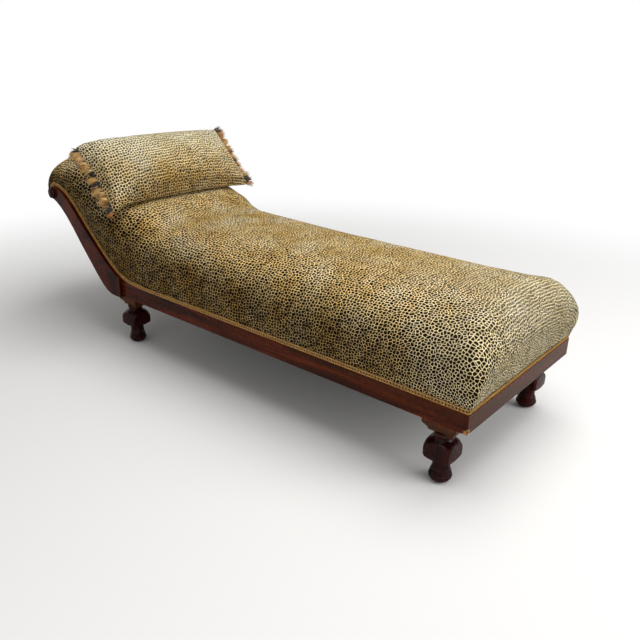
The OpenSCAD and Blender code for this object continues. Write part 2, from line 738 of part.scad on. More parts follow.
// Gimp braid along the seam between the velvet and the wood.
module gimp_side() {
    rail_run = [[foot_x - 1, rail_top + 0.2]];
    path = concat(rail_run, [for (i = [0:front_steps]) front_line[i]],
        [for (a = [100:20:180]) [end_x, end_z] + end_r * [cos(a), sin(a)]]);
    color(gold)
        band(path, soft_gap, gimp_h, -half_w - gimp_t, -half_w - 0.1);
}
module gimp_near() {
    gimp_side();
}
module gimp_far() {
    mirror([0, 1, 0])
        gimp_side();
}
module gimp_foot() {
    side = half_w;
    x = foot_x - pad_set + soft_gap;
    lean = 3;
    color(gold)
        side_on(-side, side, [[x, rail_top + soft_gap], [x + gimp_t, rail_top + soft_gap],
            [x + gimp_t + lean, rail_top + gimp_h], [x + lean, rail_top + gimp_h]]);
}

// Pillow: two crowned faces meet at the seams, which draw in between the corners.
pillow_long = 16;
pillow_short = 10;
// The pillow's underside is pressed to the crown of the head that it lies on.
pillow_at = [joint_x - pillow_back, rail_z + pillow_rise];
crown_line = [for (i = [front_steps:-1:0]) let(p = crown(front_t(i)) - pillow_at)
    [p[0] * cos(pillow_tilt) - p[1] * sin(pillow_tilt), p[0] * sin(pillow_tilt) + p[1] * cos(pillow_tilt)]];
function pillow_point(i, j, face, d) =
    let(u = cos(180 * i / pillow_long), v = cos(180 * j / pillow_short))
    let(puff = pow(1 - pow(abs(u), 2.6), 0.62) * pow(1 - pow(abs(v), 2.2), 0.62))
    let(draw_u = 1 - 0.035 * (1 - v * v), draw_v = 1 - 0.075 * (1 - pow(abs(u), 4)))
    let(x = (pillow_w / 2 - 3 * d) * v * draw_v, droop = pillow_droop * u * u)
    let(y = (pillow_len / 2 - 3 * d) * u * draw_u, across = min(1, abs(y + pillow_shift) / head_half))
    let(rest = lookup(x, crown_line) - 90 * (1 - bow(1 - pow(across, head_power), 2 * head_power)))
    let(over = (pillow_top - d) * puff - droop)
    let(under = max(-(pillow_under - d) * puff - droop, rest + 2 * soft_gap + d))
    [x, y, face > 0 ? over : min(under, over - 0.3 * (over + droop))];
function pillow_grid(face, d) = [for (i = [0:pillow_long])
    [for (j = [0:pillow_short]) pillow_point(i, j, on_seam(i, j) ? 1 : face, d)]];
function on_seam(i, j) = i == 0 || j == 0 || i == pillow_long || j == pillow_short;
module pillow_solid(d) {
    n = pillow_long + 1;
    m = pillow_short + 1;
    inner = [for (i = [1:n - 2]) [for (j = [1:m - 2]) pillow_point(i, j, -1, d)]];
    top = flat_list(pillow_grid(1, d));
    low = flat_list(inner);
    function low_index(i, j) = on_seam(i, j) ? i * m + j : n * m + (i - 1) * (m - 2) + j - 1;
    low_faces = [for (i = [0:n - 2], j = [0:m - 2])
        let(a = low_index(i, j), b = low_index(i, j + 1))
        let(c = low_index(i + 1, j), e = low_index(i + 1, j + 1))
        each (2 * i < n - 1) != (2 * j < m - 1) ? [[a, b, c], [b, e, c]] : [[a, b, e], [a, e, c]]];
    polyhedron(concat(top, low), concat(grid_faces(n, m, 0, false, true), low_faces), 4);
}
module on_pillow() {
    translate([joint_x - pillow_back, pillow_shift, rail_z + pillow_rise])
        rotate([0, pillow_tilt, 0])
            children();
}
module pillow_pad() {
    color("#e8e2d2")
        on_pillow()
            pillow_solid(cover_t + 4 * soft_gap);
}
module pillow_cover_top() {
    color(velvet)
        on_pillow()
            sheet(pillow_grid(1, 0), pillow_grid(1, cover_t), true);
}
module pillow_cover_under() {
    color(velvet)
        on_pillow()
            sheet(reversed(pillow_grid(-1, 0)), reversed(pillow_grid(-1, cover_t)), true);
}
function seam_end(v) = pillow_len / 2 * (1 - 0.035 * (1 - v * v));
module pillow_fringe(side) {
    steps = 48;
    inner = [for (i = [0:steps]) let(v = 1 - 2 * i / steps) [pillow_w / 2 * v, seam_end(v) + soft_gap]];
    outer = [for (i = [steps:-1:0])
        let(v = 1 - 2 * i / steps, ragged = 3 * sin(i * 77) + 4 * sin(i * 131))
        [pillow_w / 2 * v, seam_end(v) + fringe_len - 7 + ragged]];
    color("#a8702c")
        on_pillow()
            mirror([0, side > 0 ? 0 : 1, 0])
                translate([0, 0, -pillow_droop - fringe_t / 2])
                    linear_extrude(fringe_t)
                        polygon(concat(inner, outer));
}
module pillow_fringe_near() {
    pillow_fringe(-1);
}
module pillow_fringe_far() {
    pillow_fringe(1);
}

side_rail_near();
side_rail_far();
foot_rail();
head_cross_rail();
head_upright_near();
head_upright_far();
head_top_rail();
roundel_near();
roundel_far();
corner_block_foot_near();
corner_block_foot_far();
corner_block_head_near();
corner_block_head_far();
corner_block_screws();
plinth_foot_near();
plinth_foot_far();
plinth_head_near();
plinth_head_far();
leg_foot_near();
leg_foot_far();
leg_head_near();
leg_head_far();
webbing_across();
webbing_along();
head_webbing();
seat_springs();
spring_lashing();
spring_hessian();
stuffing();
velvet_cover();
outside_back();
dust_cover();
gimp_near();
gimp_far();
gimp_foot();
pillow_pad();
pillow_cover_top();
pillow_cover_under();
pillow_fringe_near();
pillow_fringe_far();
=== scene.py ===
# %% [markdown]
# A chaise longue: a long couch with one raised scroll head, a velvet cover with a small spotted
# print, polished mahogany rails and a loose pillow with fringed ends. The construction model gives
# every size and place, so this lesson only dresses it: each cell says what a part is on the real
# couch, and then makes it in metres, in the same frame.

# %% Load the construction model
import json
import math
import bmesh
import bpy
import numpy as np
from mathutils import Matrix, Vector, noise
from mathutils.bvhtree import BVHTree


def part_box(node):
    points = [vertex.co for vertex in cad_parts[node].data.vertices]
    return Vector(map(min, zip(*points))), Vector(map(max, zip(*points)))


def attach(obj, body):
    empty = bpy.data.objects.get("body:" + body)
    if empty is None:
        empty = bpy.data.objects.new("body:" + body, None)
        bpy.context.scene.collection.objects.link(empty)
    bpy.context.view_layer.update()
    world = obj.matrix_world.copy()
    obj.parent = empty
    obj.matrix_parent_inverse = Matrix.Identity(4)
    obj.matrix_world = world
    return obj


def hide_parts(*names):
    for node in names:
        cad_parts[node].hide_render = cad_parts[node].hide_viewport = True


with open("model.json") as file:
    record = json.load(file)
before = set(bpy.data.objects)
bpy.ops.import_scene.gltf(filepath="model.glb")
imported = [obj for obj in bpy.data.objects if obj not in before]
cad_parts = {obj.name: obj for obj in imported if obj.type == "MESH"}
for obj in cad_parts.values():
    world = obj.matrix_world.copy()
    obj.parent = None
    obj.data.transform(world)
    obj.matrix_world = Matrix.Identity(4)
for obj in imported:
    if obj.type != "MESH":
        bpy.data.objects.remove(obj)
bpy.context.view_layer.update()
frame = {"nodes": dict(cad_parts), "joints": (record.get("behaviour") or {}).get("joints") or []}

MM = 0.001

# %% [markdown]
# Colours are picked as sRGB hex values, as on a paint chart, but shaders work in linear light, so
# one function turns them. A second small function adds any node with its settings and its links
# and hands back one of its outputs, which keeps every material below short enough to read.

# %% Colours and nodes
def linear(code):
    values = [int(code[i:i + 2], 16) / 255 for i in (1, 3, 5)]
    return (*[v / 12.92 if v <= 0.04045 else ((v + 0.055) / 1.055) ** 2.4 for v in values], 1.0)


def add(tree, kind, inputs=None, out=0, stops=(), **settings):
    node = tree.nodes.new(kind)
    for key, value in settings.items():
        setattr(node, key, value)
    for _ in stops[2:]:
        node.color_ramp.elements.new(1.0)
    for element, (place, code) in zip(node.color_ramp.elements if stops else (), stops):
        element.position, element.color = place, linear(code)
    for key, value in (inputs or {}).items():
        if isinstance(value, bpy.types.NodeSocket):
            tree.links.new(value, node.inputs[key])
        else:
            node.inputs[key].default_value = linear(value) if str(value).startswith("#") else value
    return node.outputs[out] if len(node.outputs) else node


# A Mix node set to colours takes them on sockets 6 and 7 and gives the result on output 2.
COLOURS = {"out": 2, "data_type": "RGBA"}


def new_material(name, **constants):
    mat = bpy.data.materials.new(name)
    mat.use_nodes = True
    shader = mat.node_tree.nodes["Principled BSDF"]
    for key, value in constants.items():
        socket = shader.inputs[key.replace("_", " ")]
        socket.default_value = linear(value) if isinstance(value, str) else value
    return mat, mat.node_tree, shader


def finish_material(tree, shader, colour, height=None, strength=0.0, distance=0.0, roughness=None):
    tree.links.new(colour, shader.inputs["Base Color"])
    if roughness is not None:
        tree.links.new(roughness, shader.inputs["Roughness"])
    if height is not None:
        normal = add(tree, "ShaderNodeBump", {"Height": height, "Strength": strength, "Distance": distance})
        tree.links.new(normal, shader.inputs["Normal"])


def linked(name, data):
    made = bpy.data.objects.new(name, data)
    bpy.context.scene.collection.objects.link(made)
    return made


print("gold velvet in linear light", [round(v, 3) for v in linear("#f3d392")[:3]])

# %% [markdown]
# The camera stands where the photographer stood: it was fitted to the rails and the legs, whose
# sizes are known from the model. The lens keeps the photograph's field of view on a 36 mm sensor.

# %% Camera
eye = Vector((1.521, -1.542, 1.017))
yaw, pitch, roll = (math.radians(a) for a in (-40.19, -22.26, 0.92))
forward = Vector((math.sin(yaw) * math.cos(pitch), math.cos(yaw) * math.cos(pitch), math.sin(pitch)))
level = forward.cross(Vector((0, 0, 1))).normalized()
rise = level.cross(forward)
across = level * math.cos(roll) + rise * math.sin(roll)
upward = rise * math.cos(roll) - level * math.sin(roll)
cam_data = bpy.data.cameras.new("view")
cam_data.lens = 36.76
cam_data.sensor_width = 36
cam = linked("view", cam_data)
cam.matrix_world = Matrix((across, upward, -forward)).transposed().to_4x4()
cam.location = eye
bpy.context.scene.camera = cam
print("camera at", tuple(round(v, 3) for v in eye))

# %% [markdown]
# The studio is plain: a pale floor, three large soft lamps and a pale world. What the camera sees
# behind the couch is white, but the light that falls on the couch stays at a level at which a
# colour renders about as it is written. Light Path separates the two, for the floor and the world.

# %% World
WORLD_LIGHT = 0.36


def looked_at(tree):
    path = add(tree, "ShaderNodeLightPath").node.outputs
    rays = [path["Is Camera Ray"], path["Is Glossy Ray"], path["Is Transmission Ray"]]
    seen = add(tree, "ShaderNodeMath", {0: rays[0], 1: rays[1]}, operation="MAXIMUM")
    return add(tree, "ShaderNodeMath", {0: seen, 1: rays[2]}, operation="MAXIMUM")


world = bpy.data.worlds.new("studio")
bpy.context.scene.world = world
world.use_nodes = True
tree = world.node_tree
strength = add(tree, "ShaderNodeMapRange", {"Value": looked_at(tree), "To Min": WORLD_LIGHT, "To Max": 1.0})
tree.nodes["Background"].inputs["Color"].default_value = linear("#ffffff")
tree.links.new(strength, tree.nodes["Background"].inputs["Strength"])
bpy.context.scene.view_settings.view_transform = "Standard"
print("world light on the couch", WORLD_LIGHT)

# %% [markdown]
# The floor is a matt painted board with faint clouds. Further from the couch it fades to white for
# whoever looks at it, so that it has no horizon, while near the couch it keeps the real shadow.

# %% Floor
HALF_FLOOR = 9
FADE_FROM, FADE_TO = 0.9, 2.9
corners = [(-HALF_FLOOR, -HALF_FLOOR, 0), (HALF_FLOOR, -HALF_FLOOR, 0),
           (HALF_FLOOR, HALF_FLOOR, 0), (-HALF_FLOOR, HALF_FLOOR, 0)]
floor_mesh = bpy.data.meshes.new("floor")
floor_mesh.from_pydata(corners, [], [(0, 1, 2, 3)])
floor = linked("floor", floor_mesh)
floor_mat, tree, shader = new_material("pale_floor", Roughness=0.8)
cloudy = add(tree, "ShaderNodeTexNoise", {"Scale": 3.0, "Detail": 3.0})
paint = add(tree, "ShaderNodeValToRGB", {"Fac": cloudy}, stops=[(0.3, "#dedddb"), (0.7, "#e6e5e3")])
finish_material(tree, shader, paint)
place = add(tree, "ShaderNodeTexCoord", out="Object")
away = add(tree, "ShaderNodeVectorMath", {0: place}, out="Value", operation="LENGTH")
fade = add(tree, "ShaderNodeMapRange", {"Value": away, "From Min": FADE_FROM, "From Max": FADE_TO},
           interpolation_type="SMOOTHSTEP")
fade = add(tree, "ShaderNodeMath", {0: fade, 1: looked_at(tree)}, operation="MULTIPLY")
white = add(tree, "ShaderNodeEmission", {"Color": "#ffffff", "Strength": 1.0})
blend = add(tree, "ShaderNodeMixShader", {0: fade, 1: shader.outputs[0], 2: white})
tree.links.new(blend, tree.nodes["Material Output"].inputs["Surface"])
floor.data.materials.append(floor_mat)
print("floor", 2 * HALF_FLOOR, "m wide")

# %% [markdown]
# The lamps are wide sheets of light, as from a ceiling panel and a window. Most light comes from
# above and from beyond the foot end, so the lamp beside the camera is a weak one.

# %% Lamps
def area_lamp(name, place, aim, size, watts):
    data = bpy.data.lights.new(name, "AREA")
    data.shape, data.size, data.size_y, data.energy = "RECTANGLE", size[0], size[1], watts
    lamp = linked(name, data)
    lamp.location = place
    lamp.rotation_euler = (Vector(aim) - Vector(place)).to_track_quat("-Z", "Y").to_euler()
    print(name, watts, "W")


area_lamp("ceiling", (0.9, 0.3, 3.0), (0.1, 0.0, 0.3), (3.2, 2.2), 84)
area_lamp("window", (3.4, 0.9, 1.6), (0.2, 0.0, 0.4), (2.0, 1.6), 60)
area_lamp("camera_side", (0.6, -3.2, 1.8), (0.0, 0.0, 0.3), (2.4, 1.6), 9)

# %% [markdown]
# The velvet has a short cut pile and a printed cheetah pattern: close black-brown blots, each about
# 6 mm across and 9 mm from the next, on gold. A cell pattern's distance to the cell edges gives
# such blots with a thin gold net between them. It runs on the piece's own UV map, in metres, so
# the blots keep their size round every bend. Toward the head the net narrows a little. Light is
# painted into the colour as well: where the light falls most the gold is painted paler, toward
# cream, with greyer blots, and on the flanks painted shade deepens the colour and narrows the net.

# %% Printed velvet
BLOT_PITCH = 9.2 * MM
BLOT_LENGTH = 1.2
BLOT_BEND = 7 * MM
HEAD_FROM, HEAD_TO = 0.0, -0.45
FLANK_NARROWS, HEAD_NARROWS = -0.045, -0.006


def printed_velvet(name, pale_axis, pale_from, pale_to, lit_blot, shade_strength, least_gap):
    # Printed cotton velvet: its cut pile drinks the light, so it is matt, with a faint golden sheen.
    mat, tree, shader = new_material(name, Roughness=0.9, Sheen_Weight=0.03, Sheen_Roughness=0.4,
                                     Sheen_Tint="#f3e3b8", Specular_IOR_Level=0.05)
    place = add(tree, "ShaderNodeTexCoord", out="Object")
    uv = add(tree, "ShaderNodeUVMap", uv_map="cloth")
    # Noise 25 mm wide bends the rows, because printed blots wander.
    sway = add(tree, "ShaderNodeTexNoise", {"Vector": uv, "Scale": 40.0, "Detail": 2.0}, out="Color")
    sway = add(tree, "ShaderNodeVectorMath", {0: sway, 1: (0.5, 0.5, 0.5)}, operation="SUBTRACT")
    moved = add(tree, "ShaderNodeVectorMath", {0: sway, 1: (BLOT_BEND,) * 3, 2: uv}, operation="MULTIPLY_ADD")
    longer = (1 / BLOT_LENGTH, 1.0, 1.0)
    drawn = add(tree, "ShaderNodeVectorMath", {0: moved, 1: longer}, operation="MULTIPLY")
    cells = {"Vector": drawn, "Scale": 1 / BLOT_PITCH, "Randomness": 0.75}
    edge = add(tree, "ShaderNodeTexVoronoi", cells, voronoi_dimensions="2D", feature="DISTANCE_TO_EDGE")
    tone = add(tree, "ShaderNodeTexVoronoi", cells, out="Color", voronoi_dimensions="2D")
    picked = add(tree, "ShaderNodeSeparateColor", {"Color": tone})
    # Where the cloth lies: on a flank, for painted shade; at the lit end, for painted light; or toward the
    # head.
    slope = add(tree, "ShaderNodeSeparateXYZ", {0: add(tree, "ShaderNodeNewGeometry", out="Normal")}, out="Z")
    flank_shade = add(tree, "ShaderNodeMapRange", {"Value": slope, "From Min": 0.9, "From Max": 0.3})
    reach = add(tree, "ShaderNodeVectorMath", {0: place, 1: pale_axis}, out="Value", operation="DOT_PRODUCT")
    painted_light = add(tree, "ShaderNodeMapRange", {"Value": reach, "From Min": pale_from, "From Max": pale_to},
                   interpolation_type="SMOOTHSTEP")
    headward = add(tree, "ShaderNodeMapRange", {"Value": reach, "From Min": HEAD_FROM, "From Max": HEAD_TO})
    # Painted shade on a flank is weaker where the painted light is strong.
    kept = add(tree, "ShaderNodeMath", {0: painted_light, 1: -0.6, 2: 1.0}, operation="MULTIPLY_ADD")
    flank_shade = add(tree, "ShaderNodeMath", {0: flank_shade, 1: kept}, operation="MULTIPLY")
    # Each blot has its own gap to the next, and its edge is soft, as ink in pile is.
    net = add(tree, "ShaderNodeMath", {0: picked, 1: 0.07, 2: least_gap}, operation="MULTIPLY_ADD")
    # Painted shade: the net narrows on the flanks, so the dark blots spread.
    net = add(tree, "ShaderNodeMath", {0: flank_shade, 1: FLANK_NARROWS, 2: net}, operation="MULTIPLY_ADD")
    net = add(tree, "ShaderNodeMath", {0: headward, 1: HEAD_NARROWS, 2: net}, operation="MULTIPLY_ADD")
    inside = add(tree, "ShaderNodeMath", {0: edge, 1: net}, operation="SUBTRACT")
    blot = add(tree, "ShaderNodeMapRange", {"Value": inside, "From Min": -0.03, "From Max": 0.03})
    # Clouds of wear, about 110 mm wide, vary each ink and each ground.
    patch = add(tree, "ShaderNodeTexNoise", {"Vector": place, "Scale": 9.0, "Detail": 3.0})
    gold = add(tree, "ShaderNodeValToRGB", {"Fac": patch},
               stops=[(0.3, "#e2b868"), (0.5, "#f3d392"), (0.7, "#fae4b4")])
    # Painted light: a paler, creamier gold where the light falls most.
    pale = add(tree, "ShaderNodeValToRGB", {"Fac": patch}, stops=[(0.3, "#ead9a8"), (0.7, "#f8eecd")])
    ground = add(tree, "ShaderNodeMix", {0: painted_light, 6: gold, 7: pale}, **COLOURS)
    # Painted shade: on the flanks the ground is multiplied toward a dull olive.
    shaded_ground = add(tree, "ShaderNodeMix", {0: shade_strength, 6: ground, 7: "#b8a982"}, blend_type="MULTIPLY", **COLOURS)
    shaded_ground = add(tree, "ShaderNodeMix", {0: painted_light, 6: shaded_ground, 7: ground}, **COLOURS)
    ground = add(tree, "ShaderNodeMix", {0: flank_shade, 6: ground, 7: shaded_ground}, **COLOURS)
    black = add(tree, "ShaderNodeValToRGB", {"Fac": patch}, stops=[(0.3, "#050302"), (0.7, "#110b06")])
    # Painted light: the blots turn greyer where the light falls most.
    black = add(tree, "ShaderNodeMix", {0: painted_light, 6: black, 7: lit_blot}, **COLOURS)
    colour = add(tree, "ShaderNodeMix", {0: blot, 6: ground, 7: black}, **COLOURS)
    # Real tufts are under 0.5 mm, too fine to show, so the pile is drawn 2.4 mm coarse.
    pile = add(tree, "ShaderNodeTexNoise", {"Vector": place, "Scale": 420.0, "Detail": 2.0})
    finish_material(tree, shader, colour, pile, 0.1, 0.5 * MM)
    return mat


# Painted light: the seat's gold grows paler toward its foot end, the pillow's toward its top. Only the seat
# gets painted shade on its flanks.
velvet = printed_velvet("printed_cut_velvet", pale_axis=(1.0, 0.0, 0.0), pale_from=0.5, pale_to=1.1,
                        lit_blot="#1c1610", shade_strength=0.75, least_gap=0.062)
pillow_cloth = printed_velvet("printed_cut_velvet_pillow", pale_axis=(-0.3, 0.0, 1.0), pale_from=0.73,
                              pale_to=0.9, lit_blot="#3a3424", shade_strength=0.0, least_gap=0.08)
print("blots every", BLOT_PITCH / MM, "mm")

# %% [markdown]
# The cover is one long skin over the springs and stuffing. The model holds it as a coarse grid of
# triangles, station by station from the foot end to the scroll. Reading this grid back, row by row
# from the foot seam, gives the points that a smooth surface can be passed through.

# %% Read a grid of points from a CAD skin
CLOSE = 3 * MM


def merged_points(node):
    data = frame["nodes"][node].data
    keys, points, index = {}, [], []
    for vertex in data.vertices:
        key = tuple(round(c * 2e5) for c in vertex.co)  # corners less than 0.005 mm apart are one point
        if key not in keys:
            keys[key] = len(points)
            points.append(vertex.co.copy())
        index.append(keys[key])
    faces = [[index[v] for v in p.vertices] for p in data.polygons]
    return np.array(points), [f for f in faces if len(set(f)) == 3]


def read_grid(points, faces, row):
    on_edge = {}
    for number, face in enumerate(faces):
        for a, b in ((0, 1), (1, 2), (2, 0)):
            on_edge.setdefault(frozenset((face[a], face[b])), []).append(number)
    used, rows = set(), [row]

    def third(a, b):
        # Of the unused triangles on an edge, the one with the higher tip goes on over the outer skin.
        best = None
        for number in on_edge.get(frozenset((a, b)), []):
            if number in used:
                continue
            c = next(v for v in faces[number] if v not in (a, b))
            if best is None or points[c, 2] > best[0]:
                best = (points[c, 2], number, c)
        return best

    def apart(p, q):
        return np.linalg.norm(points[p] - points[q])

    # Each cell of the grid is two triangles, and crossing both leads from a row to the next.
    while True:
        row, following = rows[-1], [None] * len(rows[-1])
        for j, (a, b) in enumerate(zip(row, row[1:])):
            first = third(a, b)
            if first is None:
                return rows
            used.add(first[1])
            tip = first[2]
            rim = third(a, tip) if j == 0 else None
            if rim and min(apart(rim[2], a), apart(rim[2], tip)) < CLOSE:
                following[0] = tip
            second = third(b, tip) if following[j] == tip else third(a, tip)
            if second is None:
                return rows
            used.add(second[1])
            following[j], following[j + 1] = (tip, second[2]) if following[j] == tip else (second[2], tip)
        if min(apart(following[len(row) // 2], p) for p in row) < CLOSE:
            return rows
        rows.append(following)


points, faces = merged_points("velvet_cover")
seam_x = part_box("foot_rail")[1].x - 3 * MM
rail_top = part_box("gimp_foot")[0].z
foot_seam = [i for i in np.argsort(points[:, 1])
             if abs(points[i, 0] - seam_x) < 0.2 * MM and points[i, 2] < rail_top + 6 * MM]
grid = points[np.array(read_grid(points, faces, foot_seam))]
print("velvet grid", grid.shape, "from", grid[0, 9].round(3), "to", grid[-1, 9].round(3))

# %% [markdown]
# A curve that passes through every model point keeps the couch's size, where a subdivision surface
# would shrink it. Running such curves along the cover and then over it fills the coarse grid. Small
# helpers turn a grid into a mesh and a mesh into a piece, because each part below needs them.

# %% Smooth rows, and a mesh from a grid
def refine(rows, times):
    first, last = 2 * rows[0] - rows[1], 2 * rows[-1] - rows[-2]
    rows = np.concatenate([first[None], rows, last[None]])
    made = []
    for i in range(1, len(rows) - 2):
        p, q, r, s = rows[i - 1:i + 3]
        for t in np.arange(times) / times:
            made.append(q + 0.5 * t * (r - p + t * (2 * p - 5 * q + 4 * r - s + t * (3 * (q - r) + s - p))))
    return np.array(made + [rows[-2]])


def both_ways(rows, along_times, over_times):
    return refine(refine(rows, along_times).transpose(1, 0, 2), over_times).transpose(1, 0, 2)


def run_lengths(rows):
    steps = np.linalg.norm(np.diff(rows, axis=0), axis=-1)
    return np.concatenate([np.zeros((1,) + steps.shape[1:]), np.cumsum(steps, axis=0)])


def loop_vertices(mesh):
    corners = np.empty(len(mesh.loops), dtype=np.int32)
    mesh.loops.foreach_get("vertex_index", corners)
    return corners


def shade(mesh, smooth=True):
    mesh.polygons.foreach_set("use_smooth", [smooth] * len(mesh.polygons))


def grid_mesh(name, rows, uv_map):
    n, m = rows.shape[:2]
    cells = [(i * m + j, (i + 1) * m + j, (i + 1) * m + j + 1, i * m + j + 1)
             for i in range(n - 1) for j in range(m - 1)]
    mesh = bpy.data.meshes.new(name)
    mesh.from_pydata(rows.reshape(-1, 3).tolist(), [], cells)
    cloth = mesh.uv_layers.new(name="cloth")
    cloth.data.foreach_set("uv", uv_map.reshape(-1, 2)[loop_vertices(mesh)].ravel())
    shade(mesh)
    return mesh


def new_piece(name, mesh, material, body, slot_name, *nodes):
    piece = linked(name, mesh)
    mesh.materials.clear()
    mesh.materials.append(material)
    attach(piece, body)
    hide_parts(*nodes)
    return piece


medium = both_ways(grid, 2, 2)
print("smoothed grid", medium.shape)

# %% [markdown]
# An upholsterer cuts the cover from flat cloth, so the print is flat before it bends. Blender's
# unwrap with the least stretch finds that cutting pattern. It comes out in a unit square, so one
# known stretch in the middle of the seat turns it along the couch and scales it back to metres.

# %% Cutting pattern of the cover
def unwrapped(piece, rounds):
    bpy.context.view_layer.objects.active = piece
    piece.select_set(True)
    bpy.ops.object.mode_set(mode="EDIT")
    bpy.ops.mesh.select_all(action="SELECT")
    bpy.ops.uv.unwrap(method="MINIMUM_STRETCH", iterations=rounds, margin=0.0)
    bpy.ops.object.mode_set(mode="OBJECT")
    values = np.empty(len(piece.data.loops) * 2)
    piece.data.uv_layers["cloth"].data.foreach_get("uv", values)
    bpy.data.objects.remove(piece)
    return values


def flattened(rows):
    mesh = grid_mesh("cutting_pattern", rows, np.zeros(rows.shape[:2] + (2,)))
    values = unwrapped(linked("cutting_pattern", mesh), 30)
    flat = np.zeros((rows.shape[0] * rows.shape[1], 2))
    flat[loop_vertices(mesh)] = values.reshape(-1, 2)
    flat = flat.reshape(rows.shape[:2] + (2,))
    n, m = rows.shape[0] // 3, rows.shape[1] // 2
    ahead, real = flat[n + 6, m] - flat[n, m], np.linalg.norm(rows[n + 6, m] - rows[n, m])
    turn = np.array([[ahead[0], -ahead[1]], [ahead[1], ahead[0]]]) / (ahead @ ahead) * real
    return (flat - flat[n, m]) @ turn


cutting = flattened(medium)
steps_3d = np.linalg.norm(np.diff(medium, axis=0), axis=-1)
steps_2d = np.linalg.norm(np.diff(cutting, axis=0), axis=-1)
print("flattened cloth", [round(float(v), 3) for v in np.ptp(cutting.reshape(-1, 2), axis=0)],
      "stretch", round(float(np.median(steps_2d / np.maximum(steps_3d, 1e-6))), 3))

# %% [markdown]
# The model's foot end has ridges from its coarse grid. Smoothing steps that pull in and push out by
# turns take them away and keep the volume. The padding under real velvet is never even, so the
# surface also dips here and there by a millimetre or two. It dips inwards only, and not at its
# seams, so nothing that touches it clips. This seat is firm and tight, so these vertex moves stand
# in for a cloth simulation.

# %% Foot end and dips
FOOT_FROM, FOOT_BLEND = 0.78, 0.1
PULL, PUSH, TURNS = 0.55, -0.56, 300
DIP_DEPTH, DIPS_PER_METRE, SEAM_MARGIN = 2.4 * MM, 9.0, 0.06

fine = both_ways(medium, 4, 4)
middle_row, middle = len(fine) // 3, fine.shape[1] // 2
soft = np.clip((fine[1:-1, 1:-1, [0]] - FOOT_FROM) / FOOT_BLEND, 0, 1)
for turn in range(TURNS):
    beside = (fine[:-2, 1:-1] + fine[2:, 1:-1] + fine[1:-1, :-2] + fine[1:-1, 2:]) / 4
    fine[1:-1, 1:-1] += (PULL, PUSH)[turn % 2] * soft * (beside - fine[1:-1, 1:-1])
along, over = run_lengths(fine), run_lengths(fine.transpose(1, 0, 2)).T
over = over - over[:, [middle]]
normals = np.cross(np.gradient(fine, axis=0), np.gradient(fine, axis=1))
normals /= np.maximum(np.linalg.norm(normals, axis=-1, keepdims=True), 1e-9)
upward_side = int(np.sign(normals[middle_row, middle, 2]))
border = np.minimum(np.abs(np.abs(over) - np.abs(over[:, [0]])), along)
dips = np.array([[noise.noise(Vector(p) * DIPS_PER_METRE) for p in row] for row in fine])
depth = np.clip(dips + 0.2, 0, 1) * np.clip(border / SEAM_MARGIN, 0, 1) * DIP_DEPTH
fine = fine - upward_side * normals * depth[..., None]
print("deepest dip", round(float(depth.max()) / MM, 2), "mm")

# %% [markdown]
# The print is laid on the cutting pattern, and its scale changes a little along the cover. Toward
# the head, far from the camera, blots of the true size would run together into one tone in the
# render, so there they are drawn coarser than life. A wall of 3 mm stands for the cloth and its
# wadding.

# %% Seat velvet
PITCH_CHANGE = 0.26
TRUE_AT, COVER_RUN = 0.9, 1.9
WALL = 3 * MM

pattern = both_ways(cutting, 4, 4)
from_foot = np.clip(pattern[..., [0]] - pattern[0, middle, 0], 0, COVER_RUN)
growth = 1 + PITCH_CHANGE * (TRUE_AT - from_foot)
pattern = np.concatenate([pattern[..., [0]] * (1 + growth) / 2, pattern[..., [1]] * growth], -1)
seat_mesh = grid_mesh("seat_velvet", fine[::upward_side], pattern[::upward_side])
seat = new_piece("seat_velvet", seat_mesh, velvet, "couch", "printed_velvet", "velvet_cover", "stuffing")
wall = seat.modifiers.new("cloth_and_wadding", "SOLIDIFY")
wall.thickness, wall.offset = WALL, -1
print("seat velvet", len(seat_mesh.polygons), "faces, length", round(float(along[-1, middle]), 3), "m")

# %% [markdown]
# The rails and the sloping uprights are Cuban-type mahogany under French polish: red-brown wood with
# long thin pores, below many thin coats of shellac that give a deep, clear gloss. The grain runs
# along each board, so each board gets the material with its own grain direction. Noise that is drawn
# out along the board gives the figure, and finer noise gives the pores. The polish has worn thin on
# the outer edges, where the bevelled corners show paler, and the foot rail's near lower corner has
# been knocked so often that bare wood shows in chips.

# %% Polished mahogany
rail_low, rail_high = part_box("foot_rail")
KNOCKED_CORNER = (rail_high.x, rail_low.y, rail_low.z)
CHIPPED_TO, CHIPS_END = 6 * MM, 34 * MM
RUBBED_WOOD, BARE_WOOD = "#b5713f", "#b08252"


